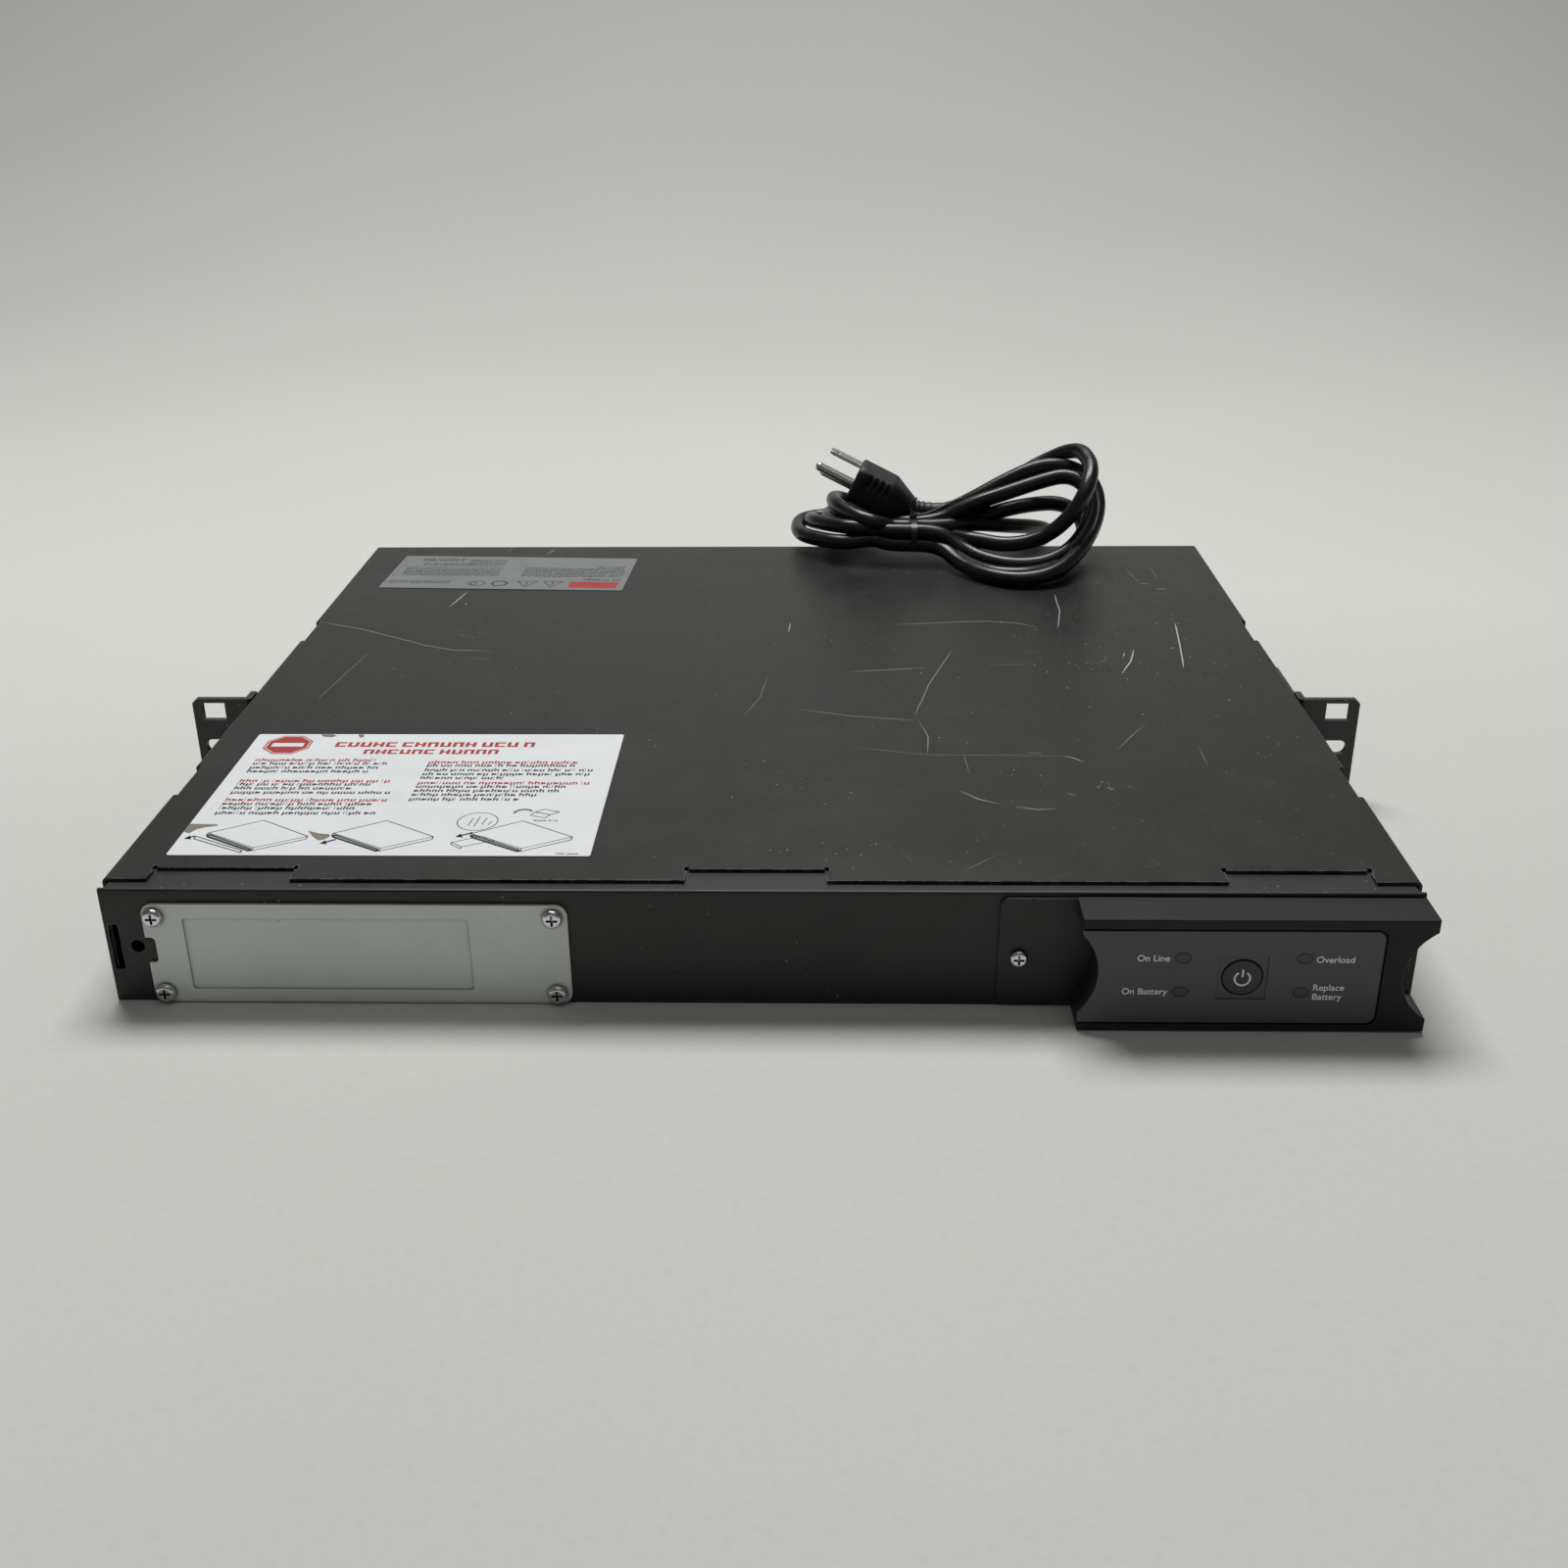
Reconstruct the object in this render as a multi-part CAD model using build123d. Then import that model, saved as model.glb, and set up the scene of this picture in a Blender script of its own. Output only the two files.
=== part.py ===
from build123d import *
import math
import os

# One-unit rack-mount uninterruptible power supply, in millimetres.
# While it is modelled, x runs across the front (to the right seen from the front), y is the
# depth behind the chassis's front face and z is the height above the base. Every piece is
# moved by ORIGIN_SHIFT when it is written, so that the origin is the middle of the footprint.

# ---- Driving dimensions -------------------------------------------------------------------
CASE_WIDTH = 433.0          # over the cover's side skins
CASE_DEPTH = 380.0          # front face to rear panel
CASE_HEIGHT = 43.7          # base to the top of the cover, one rack unit
RACK_WIDTH = 482.6          # over the ears, the 19-inch standard
SHEET = 1.2                 # tray, panels and bay wall
COVER_SHEET = 1.0           # top cover
COVER_FRONT = 5.4           # the cover's front edge, behind the front face
LIP_TOP = 42.5              # top of the front panel's folded lip, just under the cover
LIP_DEPTH = 16.0

EAR_FRONT = 164.0           # front face of the rack ears
EAR_SHEET = 2.6
EAR_HEIGHT = 43.7
EAR_LEG_END = 214.0
RACK_HOLE_PITCH = 465.1     # between the two columns of rack holes
RACK_HOLE = (9.5, 7.6)      # wide and high
RACK_HOLE_HEIGHTS = (6.35, 38.1)
RACK_SLOT_HEIGHT = 22.4     # of the middle slot
RACK_SLOT = (10.8, 6.2)     # long and high
VENT_DEPTHS = [300.0 + 6.0 * i for i in range(11)]
VENT_WIDTH = 2.6
VENT_HEIGHTS = (9.0, 33.0)
SIDE_SCREWS = [(45.0, 22.0), (285.0, 22.0)]
SIDE_SCREWS += [(y, z) for y in (184.0, 204.0) for z in (12.0, 31.0)]
SIDE_SHANK = 1.9

DOOR_X = (-202.6, -61.7)
DOOR_Z = (0.4, 37.6)
DOOR_SHEET = 1.2
DOOR_SCREWS = ((-198.6, 33.0), (-198.6, 4.4), (-66.5, 33.0), (-66.5, 4.4))
BAY_OPENING_X = (-194.0, -72.0)
BAY_OPENING_Z = (1.2, 37.0)
BAY_WALL_X = -70.0
BAY_END = 323.0

CELL = (94.0, 151.0, 34.0)  # one sealed 6 V lead-acid block lying on its side
CELL_LEFT = -190.0
CELL_FRONT = 9.0
CELL_BASE = 1.8

HOUSING_PROUD = 16.0        # the display housing stands this far in front of the front face
HOUSING_X = (104.4, 216.0)
HOUSING_Z = (0.5, 41.5)
HOUSING_WALL = 2.0
OVERLAY_RIGHT = 199.9
OVERLAY_Z = (3.3, 37.7)
OVERLAY_DEPTH = 1.0
GROOVE = 0.7                # open line round the overlay
WINDOW = (4.9, 3.5)
WINDOWS = ((136.6, 27.7), (136.6, 15.1), (175.0, 27.7), (175.0, 15.1))
BUTTON_XZ = (156.0, 20.4)
BUTTON_RADIUS = 6.4
BUTTON_TRAVEL = 1.5
BUTTON_WELL = 15.8          # square recess round the button
BRACKET_LEFT = 79.6
BRACKET_RIGHT = 214.0
BRACKET_SCREW = (86.3, 18.9)
HOUSING_BOSSES = ((117.0, 32.5), (200.0, 9.0))

BOARD_X = (-58.0, 206.0)
BOARD_Y = (126.0, 346.0)
BOARD_Z = (8.0, 9.6)
STANDOFFS = [(x, y) for x in (-52.0, 74.0, 200.0) for y in (132.0, 340.0)]
HEATSINK_X = (-46.0, -2.0)
FIN_PITCH = 9.0
RELAY_PITCH = 30.0

REAR_PROUD = 2.0            # what stands furthest behind the rear panel
OUTLET_X = (75.0, 110.0, 145.0, 180.0)
OUTLET_FACE = (32.0, 28.0)
OUTLET_BODY = (28.0, 25.0)
BREAKER_XZ = (4.0, 21.5)
GLAND_XZ = (36.0, 22.0)
FAN_SIDE = 40.0
FAN_DEPTH = 20.0
FAN_XZ = (-32.0, 21.85)
FAN_BLADES = 7
SERIAL_XZ = (-92.0, 22.0)
JACK_X = (-150.0, -130.0)
JACK_Z = 20.0

LABEL_SHEET = 0.2
INSTRUCTIONS_X = (-201.0, -56.5)
INSTRUCTIONS_Y = (22.0, 126.5)
RATINGS_CENTRE = (-137.0, 335.0)
RATINGS_SIZE = (121.5, 52.5)
RATINGS_TURN = -2.6         # degrees, stuck on a little askew

CORD_DIAMETER = 7.8         # three-core jacketed mains lead
HANK_WAIST = (67.0, 363.0, 57.0)
TIE_OPENING = (32.6, 15.2)  # the wire tie's band, measured inside it in y and z
TIE_SHEET = 0.8
TIE_WIDTH = 2.8
PLUG_NOSE = (37.0, 380.0, 79.6)
PLUG_DIRECTION = (-0.89, 0.12, 0.43)
PLUG_UP = (0.17, 0.98, 0.08)
PLUG_FACE = (20.0, 21.0)    # from the earth pin to the blades, then from blade to blade
PLUG_CORNER = 5.0
PLUG_NECK = (10.8, 10.8)
PLUG_BODY_LENGTH = 20.0
PLUG_NECK_END = 34.0
BOOT_DIRECTION = (0.99, -0.12, 0.05)
BOOT_LENGTH = 18.0
PIN_LENGTH = 21.0
BLADE = (6.3, 1.5, 17.5)    # wide, thick and long
BLADE_PITCH = 12.7
EARTH_OFFSET = 5.95         # of the earth pin and of the blades from the middle of the nose

REAR = CASE_DEPTH
HALF = CASE_WIDTH / 2
INNER_HALF = HALF - COVER_SHEET
TRAY_HALF = INNER_HALF - SHEET
ORIGIN_SHIFT = -(CASE_DEPTH + REAR_PROUD - HOUSING_PROUD) / 2

nodes = {}


# ---- Helpers ------------------------------------------------------------------------------
def keep(name, *shapes):
    """Store the solids of some shapes as one node."""
    solids = [solid for shape in shapes for solid in shape.solids()]
    nodes[name] = solids[0] if len(solids) == 1 else Compound(solids)


def block(x, y, z):
    """Box between two x, two y and two z values."""
    low = [min(pair) for pair in (x, y, z)]
    size = [abs(pair[1] - pair[0]) for pair in (x, y, z)]
    return Pos(*low) * Box(*size, align=(Align.MIN, Align.MIN, Align.MIN))


def rod(radius, start, end):
    """Cylinder from one point to another."""
    along = Vector(*end) - Vector(*start)
    foot = Plane(origin=start, z_dir=along)
    return foot * Cylinder(radius, along.length, align=(Align.CENTER, Align.CENTER, Align.MIN))


def deep_rod(radius, xz, y):
    """Cylinder along y at a place on the front or rear face."""
    return rod(radius, (xz[0], y[0], xz[1]), (xz[0], y[1], xz[1]))


def around(centre, width):
    """The two ends of a width about its centre."""
    return (centre - width / 2, centre + width / 2)


def front_plane(y):
    """Plane facing forwards: its x is x and its y is z."""
    return Plane(origin=(0, y, 0), x_dir=(1, 0, 0), z_dir=(0, -1, 0))


def forward(sketch, y_back, y_front):
    """Extrude a sketch in x and z forwards from y_back to y_front."""
    return extrude(front_plane(y_back) * sketch, amount=y_back - y_front)


def pan_screw(head_radius, head_height, shank_radius, length):
    """Cross-recess pan-head screw: its head stands on z = 0 and its shank goes down."""
    head = Cylinder(head_radius, head_height, align=(Align.CENTER, Align.CENTER, Align.MIN))
    head = fillet(head.edges().sort_by(Axis.Z)[-1], head_height * 0.6)
    slot = Box(head_radius * 1.15, head_radius * 0.24, head_height)
    recess = Pos(0, 0, head_height * 0.95) * (slot + Rot(0, 0, 90) * slot)
    shank = Pos(0, 0, -length) * Cylinder(
        shank_radius, length, align=(Align.CENTER, Align.CENTER, Align.MIN)
    )
    return head - recess + shank


def screws(screw, places, direction):
    """Copies of one screw, with their heads pointing along a direction."""
    return [Plane(origin=place, z_dir=direction) * screw for place in places]


# ---- Sheet-metal case ---------------------------------------------------------------------
def side_vents(x):
    """Row of upright slots near the rear of the right side."""
    return [block(x, around(y, VENT_WIDTH), VENT_HEIGHTS) for y in VENT_DEPTHS]


def side_holes():
    """Screw holes through both sides."""
    return [rod(SIDE_SHANK + 0.1, (-HALF - 1, y, z), (HALF + 1, y, z)) for y, z in SIDE_SCREWS]


def make_case():
    inside = (SHEET, REAR - SHEET)
    tray = block((-HALF, HALF), inside, (0, SHEET))
    for side in (-1, 1):
        tray += block((side * TRAY_HALF, side * INNER_HALF), inside, (SHEET, 41.0))
    tray -= side_vents((TRAY_HALF - 1, INNER_HALF + 1)) + side_holes()
    keep("base_tray", tray)

    cover = block((-HALF, HALF), (COVER_FRONT, REAR), (SHEET + 0.2, CASE_HEIGHT))
    cover = fillet(cover.edges().filter_by(Axis.Y).group_by(Axis.Z)[-1], 1.6)
    hollow = block(
        (-INNER_HALF, INNER_HALF), (COVER_FRONT - 1, REAR + 1), (0, CASE_HEIGHT - COVER_SHEET)
    )
    hollow = fillet(hollow.edges().filter_by(Axis.Y).group_by(Axis.Z)[-1], 0.6)
    cuts = [hollow]
    for centre, width in ((-177.8, 47.6), (0.0, 46.7), (177.8, 47.6)):
        x = around(centre, width)
        cuts.append(block(x, (0, 13.3), (40, 45)))
        cuts += [block(around(end, 1.6), (12.0, 15.0), (40, 45)) for end in x]
    for side in (-1, 1):
        for y in ((70.5, 97.0), (235.0, 262.5)):
            cuts.append(block((side * 214.0, side * 218.0), y, (36, 45)))
    cover -= cuts + side_vents((INNER_HALF - 1, HALF + 1)) + side_holes()
    keep("top_cover", cover)

    panel = block((-HALF + 0.2, HALF - 0.2), (0, SHEET), (0, LIP_TOP))
    panel += block((-TRAY_HALF, TRAY_HALF), (0, LIP_DEPTH), (LIP_TOP - SHEET, LIP_TOP))
    panel = fillet(panel.edges().filter_by(Axis.X).sort_by_distance((0, 0, LIP_TOP))[0], 1.0)
    panel -= block(BAY_OPENING_X, (-1, 2), BAY_OPENING_Z)
    panel -= block((112.0, 206.0), (-1, 2), (5.0, 37.0))
    panel -= block((-214.9, -211.7), (-1, 2), (12.3, 29.2))
    panel -= deep_rod(2.3, (-206.1, 21.0), (-1, 2))
    panel -= [deep_rod(2.3, xz, (-1, 2)) for xz in DOOR_SCREWS]
    panel -= deep_rod(2.0, BRACKET_SCREW, (-1, 2))
    keep("front_panel", panel)


def make_side_screws():
    screw = pan_screw(3.6, 2.0, SIDE_SHANK, 6.0)
    made = []
    for side in (-1, 1):
        for y, z in SIDE_SCREWS:
            seat = HALF + EAR_SHEET if EAR_FRONT < y < EAR_LEG_END else HALF
            made += screws(screw, [(side * seat, y, z)], (side, 0, 0))
    keep("side_screws", *made)


def make_rear_panel():
    panel = block((-INNER_HALF + 0.1, INNER_HALF - 0.1), (REAR - SHEET, REAR), (0, LIP_TOP))
    through = (REAR - 2, REAR + 1)
    for x in OUTLET_X:
        panel -= block(around(x, OUTLET_BODY[0]), through, around(21.5, OUTLET_BODY[1]))
    panel -= deep_rod(5.6, BREAKER_XZ, through)
    panel -= deep_rod(9.0, GLAND_XZ, through)
    panel -= deep_rod(18.0, FAN_XZ, through)
    panel -= [deep_rod(1.8, xz, through) for xz in fan_corners()]
    panel -= block(around(SERIAL_XZ[0], 19.6), through, around(SERIAL_XZ[1], 11.0))
    panel -= [deep_rod(2.5, (SERIAL_XZ[0] + dx, SERIAL_XZ[1]), through) for dx in (-12.5, 12.5)]
    for x in JACK_X:
        panel -= block(around(x, 16.2), through, around(JACK_Z, 14.2))
    keep("rear_panel", panel)


def make_bay_wall():
    wall = block((BAY_WALL_X - SHEET, BAY_WALL_X), (SHEET, BAY_END), (SHEET, 41.0))
    wall += block((-TRAY_HALF, BAY_WALL_X), (BAY_END, BAY_END + SHEET), (SHEET, 41.0))
    wall += block((BAY_WALL_X, BAY_WALL_X + 10), (40.0, BAY_END), (SHEET, 2 * SHEET))
    wall -= block((-160.0, -120.0), (BAY_END - 1, BAY_END + 2), (9.0, 27.0))
    keep("battery_bay_wall", wall)


# ---- Rack ears ----------------------------------------------------------------------------
def make_ear(name, side):
    root = HALF * side
    tip = RACK_WIDTH / 2 * side
    skin = (root, root + EAR_SHEET * side)
    height = (0.2, EAR_HEIGHT)
    ear = block((root, tip), (EAR_FRONT, EAR_FRONT + 2.5), height)
    ear += block(skin, (EAR_FRONT, EAR_FRONT + 9.0), height)
    ear += block(skin, (EAR_FRONT, EAR_LEG_END), (4.0, 40.0))
    edges = ear.edges()
    outer = edges.filter_by(Axis.Y).filter_by(lambda e: abs(e.center().X - tip) < 0.1)
    ear = chamfer(outer, 1.9)
    leg_ends = ear.edges().filter_by(Axis.X).filter_by(
        lambda e: abs(e.center().Y - EAR_LEG_END) < 0.1
    )
    ear = fillet(leg_ends, 4.0)
    bend = ear.edges().filter_by(Axis.Z).filter_by(
        lambda e: abs(e.center().Y - EAR_FRONT) < 0.1 and abs(e.center().X - root) < 0.1
    )
    ear = fillet(bend, 2.2)
    hole_x = RACK_HOLE_PITCH / 2 * side
    cut = (EAR_FRONT - 1, EAR_FRONT + 4)
    for z in RACK_HOLE_HEIGHTS:
        ear -= block(around(hole_x, RACK_HOLE[0]), cut, around(z, RACK_HOLE[1]))
    slot = Pos(hole_x, RACK_SLOT_HEIGHT) * SlotOverall(*RACK_SLOT)
    ear -= forward(slot, cut[1], cut[0])
    for y, z in SIDE_SCREWS:
        ear -= rod(SIDE_SHANK + 0.1, (root - side, y, z), (root + 5 * side, y, z))
    keep(name, ear)


# ---- Battery door and cartridge -----------------------------------------------------------
def make_door():
    x, z = DOOR_X, DOOR_Z
    outline = Pos(sum(x) / 2, sum(z) / 2) * RectangleRounded(x[1] - x[0], z[1] - z[0], 4.0)
    bite = Pos(x[0] - 1.5, 20.3) * RectangleRounded(9.4, 9.6, 1.6)
    door = forward(outline - bite, -0.1, -0.1 - DOOR_SHEET)
    tray = Pos(-141.9, 18.9) * RectangleRounded(94.8, 27.0, 1.2)
    pressed = forward(tray, -0.7, -0.1 - DOOR_SHEET - 1)
    door -= pressed
    door -= [deep_rod(2.05, xz, (-3, 1)) for xz in DOOR_SCREWS]
    keep("battery_door", door)
    screw = pan_screw(3.3, 2.3, 1.9, 8.0)
    places = [(px, -0.1 - DOOR_SHEET, pz) for px, pz in DOOR_SCREWS]
    keep("door_screws", *screws(screw, places, (0, -1, 0)))


def make_battery():
    wide, deep, high = CELL
    right = CELL_LEFT + wide
    cells = []
    terminals = []
    fronts = (CELL_FRONT, CELL_FRONT + deep + 1.0)
    for y in fronts:
        cell = block((CELL_LEFT, right), (y, y + deep), (CELL_BASE, CELL_BASE + high))
        cell = fillet(cell.edges().filter_by(Axis.Y), 1.5)
        lid_z = (CELL_BASE + 3, CELL_BASE + high - 3)
        lid = block((right, right + 3.0), (y + 3, y + deep - 3), lid_z)
        cells.append(cell + lid)
        for dy in (14.0, deep - 14.0):
            terminals.append(block((right + 3.0, right + 10.5), around(y + dy, 6.3), (18.4, 19.2)))
    keep("battery_cells", *cells)
    link_x = right + 11.5
    link_y = (fronts[0] + deep - 14.0, fronts[1] + 14.0)
    terminals.append(rod(1.8, (link_x, link_y[0] - 3.2, 18.8), (link_x, link_y[1] + 3.2, 18.8)))
    keep("battery_terminals", *terminals)

    wrap_y = (CELL_FRONT + 1.0, fronts[1] + deep - 8.0)
    top = CELL_BASE + high
    wrap = block((CELL_LEFT + 4, right - 4), wrap_y, (top, top + 0.4))
    tab = block((CELL_LEFT + 32, CELL_LEFT + 62), (CELL_FRONT - 3.4, wrap_y[0]), (top, top + 0.4))
    tab += block(
        (CELL_LEFT + 32, CELL_LEFT + 62), (CELL_FRONT - 3.8, CELL_FRONT - 3.4), (12.0, top + 0.4)
    )
    keep("battery_wrap", wrap + tab)

    back = fronts[1] + deep
    plug = block((-158.0, -122.0), (back, back + 11.0), (10.5, 25.5))
    for x in (-149.0, -131.0):
        plug -= block(around(x, 8.6), (back + 3.5, back + 12), around(18.0, 2.4))
    lead = rod(1.8, (right + 7.5, back + 5.0, 16.0), (-122.0, back + 5.0, 16.0))
    keep("battery_plug", plug, lead)

    socket = block((-159.6, -120.4), (BAY_END + SHEET, BAY_END + 16.0), (9.2, 26.8))
    keep("battery_socket", socket)
    contacts = [
        block(around(x, 8.0), (back + 5.0, BAY_END + SHEET), around(18.0, 1.8))
        for x in (-149.0, -131.0)
    ]
    keep("battery_contacts", *contacts)


# ---- Display on the right of the front ----------------------------------------------------
def housing_outline():
    """Face of the display housing in x and z, with a finger scallop at each end."""
    left, right = HOUSING_X
    low, high = HOUSING_Z
    edge = Line((left, low), (right, low))
    edge += Line((right, low), (right, 5.1))
    edge += ThreePointArc((right, 5.1), (207.0, 21.0), (right, 36.9))
    edge += Line((right, 36.9), (right, high))
    edge += Line((right, high), (left, high))
    edge += Line((left, high), (left, 36.0))
    edge += ThreePointArc((left, 36.0), (110.1, 21.5), (left, 7.0))
    edge += Line((left, 7.0), (left, low))
    return make_face(edge)


def overlay_outline(grow):
    """Overlay panel in x and z: it runs out at the housing's left end."""
    right = OVERLAY_RIGHT + grow
    low, high = OVERLAY_Z[0] - grow, OVERLAY_Z[1] + grow
    panel = Pos((right + 60) / 2, (low + high) / 2) * RectangleRounded(right - 60, high - low, 3.0)
    return panel & housing_outline()


def windows(grow):
    """Four oval indicator windows in x and z."""
    size = (WINDOW[0] + grow, WINDOW[1] + grow)
    return [Pos(x, z) * Ellipse(size[0] / 2, size[1] / 2) for x, z in WINDOWS]


def make_display():
    face = -HOUSING_PROUD
    floor = face + OVERLAY_DEPTH
    wall = face + 2.6
    housing = forward(housing_outline(), -SHEET, face)
    front_edges = housing.edges().filter_by(lambda e: abs(e.center().Y - face) < 0.01)
    housing = fillet(front_edges, 0.5)
    cavity = offset(housing_outline(), -HOUSING_WALL)
    housing -= forward(cavity, 0, wall)
    housing -= forward(overlay_outline(GROOVE / 2), floor, face - 1)
    housing += [deep_rod(3.2, xz, (-SHEET, wall)) for xz in HOUSING_BOSSES]
    housing -= [deep_rod(1.3, xz, (0, wall + 1)) for xz in HOUSING_BOSSES]
    for oval in windows(0.3):
        housing -= forward(oval, 0, face - 1)
    housing -= deep_rod(BUTTON_RADIUS + 0.3, BUTTON_XZ, (0, face - 1))
    keep("display_housing", housing)

    overlay = forward(overlay_outline(-GROOVE / 2), floor, face)
    well = block(
        around(BUTTON_XZ[0], BUTTON_WELL), (face - 1, face + 0.5), around(BUTTON_XZ[1], BUTTON_WELL)
    )
    overlay -= well
    for oval in windows(0.3):
        overlay -= forward(oval, floor + 1, face - 1)
    overlay -= deep_rod(BUTTON_RADIUS + 0.3, BUTTON_XZ, (floor + 1, face - 1))
    keep("display_overlay", overlay)
    keep("indicator_lenses", *[forward(oval, -9.0, face) for oval in windows(0)])

    board_front = -5.0
    board = block((124.0, 191.0), (board_front, board_front + 1.6), (6.0, 36.5))
    keep("display_board", board)
    keep("indicator_leds", *[deep_rod(1.5, xz, (board_front, -8.8)) for xz in WINDOWS])
    bx, bz = BUTTON_XZ
    switch = block(around(bx, 6.0), (board_front, -8.5), around(bz, 6.0))
    keep("button_switch", switch + deep_rod(1.7, BUTTON_XZ, (-8.5, -9.0)))

    cap_front = face + 0.1
    button = deep_rod(BUTTON_RADIUS, BUTTON_XZ, (wall + 0.6, cap_front))
    rim = button.edges().filter_by(lambda e: abs(e.center().Y - cap_front) < 0.01)
    button = fillet(rim, 0.5)
    button += deep_rod(BUTTON_RADIUS + 1.2, BUTTON_XZ, (wall + 1.1, wall + 0.1))
    button += deep_rod(2.5, BUTTON_XZ, (-10.9, wall + 1.1))
    keep("power_button", button)

    plate = RectangleRounded(BRACKET_RIGHT - BRACKET_LEFT, 39.3, 3.0)
    bracket = forward(Pos((BRACKET_LEFT + BRACKET_RIGHT) / 2, 21.15) * plate, 0, -SHEET)
    bracket -= block((121.0, 194.0), (-2, 1), (8.0, 34.0))
    bracket -= deep_rod(2.0, BRACKET_SCREW, (-2, 1))
    bracket -= [deep_rod(1.4, xz, (-2, 1)) for xz in HOUSING_BOSSES]
    keep("display_bracket", bracket)
    place = (BRACKET_SCREW[0], -SHEET, BRACKET_SCREW[1])
    front = screws(pan_screw(3.1, 2.2, 1.9, 8.0), [place], (0, -1, 0))
    behind = screws(
        pan_screw(2.6, 1.8, 1.2, 7.0), [(x, 0, z) for x, z in HOUSING_BOSSES], (0, 1, 0)
    )
    keep("bracket_screws", *front, *behind)

    ribbon = Polyline(
        (-3.4, 14.0), (1.5, 14.0), (6.0, 4.0), (112.0, 4.0), (122.0, 10.2), (130.0, 10.2)
    )
    strip = Plane.YZ * trace(ribbon, 0.8)
    keep("display_ribbon", Pos(148.0, 0, 0) * extrude(strip, amount=16.0))


# ---- Electronics --------------------------------------------------------------------------
def make_electronics():
    low, top = BOARD_Z
    board = block(BOARD_X, BOARD_Y, BOARD_Z)
    board -= [rod(1.6, (x, y, 0), (x, y, 20)) for x, y in STANDOFFS]
    keep("main_board", board)
    keep("board_standoffs", *[
        rod(3.0, (x, y, SHEET), (x, y, low)) - rod(1.6, (x, y, 3), (x, y, 20)) for x, y in STANDOFFS
    ])
    screw = pan_screw(2.8, 1.9, 1.5, 5.5)
    keep("board_screws", *screws(screw, [(x, y, top) for x, y in STANDOFFS], (0, 0, 1)))

    core = block((-50.0, 46.0), (22.0, 102.0), (SHEET, 37.2))
    for x in ((-34.0, -18.0), (14.0, 30.0)):
        core -= block(x, (38.0, 86.0), (0, 40))
    keep("transformer_core", core)
    coil = block((-33.5, 29.5), (38.5, 85.5), (2.0, 41.0))
    coil -= block((-18.0, 14.0), (30, 95), (SHEET, 37.2))
    keep("transformer_coils", coil)

    sinks = []
    transistors = []
    for x in HEATSINK_X:
        fins = [around(150.0 + FIN_PITCH * i, 2.0) for i in range(9)]
        sink = block((x, x + 4.0), (146.0, 226.0), (top, 38.0))
        sink += [block((x + 4, x + 22), fin, (top, 38.0)) for fin in fins]
        sinks.append(sink)
        for y in (160.0, 184.0, 208.0):
            transistors.append(block((x - 4.5, x), around(y, 10.0), (14.0, 30.0)))
            transistors.append(block((x - 2.6, x - 2.0), around(y, 6.0), (top, 14.0)))
    keep("heatsinks", *sinks)
    keep("power_transistors", *transistors)

    cans = [(x, y) for x in (48.0, 68.0) for y in (160.0, 180.0, 200.0)]
    keep("capacitors", *[
        fillet(rod(8.0, (x, y, top), (x, y, 35.0)).edges(), 1.0) for x, y in cans
    ])
    relays = [
        block(around(100.0 + RELAY_PITCH * i, 28.5), around(318.0, 12.5), (top, 25.5))
        for i in range(4)
    ]
    keep("relays", *relays)


def wire(radius, points, bend):
    """Round wire along straight runs joined by arcs."""
    path = FilletPolyline(*points, radius=bend)
    section = Plane(origin=path @ 0, z_dir=path % 0) * Circle(radius)
    return sweep(section, path=path)


def make_wires():
    leads = []
    for x, y, end in ((-149.0, 351.0, -26.0), (-131.0, 346.0, -38.0)):
        points = [(x, BAY_END + 16, 18.0), (x, y, 18.0), (end, y, 18.0), (end, 334.0, 12.0)]
        leads.append(wire(1.9, points, 6.0))
    keep("battery_leads", *leads)
    mains = []
    for start, end in ((30.0, 22.0), (36.0, 32.0), (42.0, 44.0)):
        points = [(start, 366.0, 22.0), (start, 354.0, 22.0)]
        points += [(end, 340.0, 14.0), (end, 332.0, 11.2)]
        mains.append(wire(1.4, points, 4.0))
    keep("mains_leads", *mains)


# ---- Rear panel fittings ------------------------------------------------------------------
def fan_corners():
    x, z = FAN_XZ
    return [(x + dx, z + dz) for dx in (-16.0, 16.0) for dz in (-16.0, 16.0)]


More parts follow.
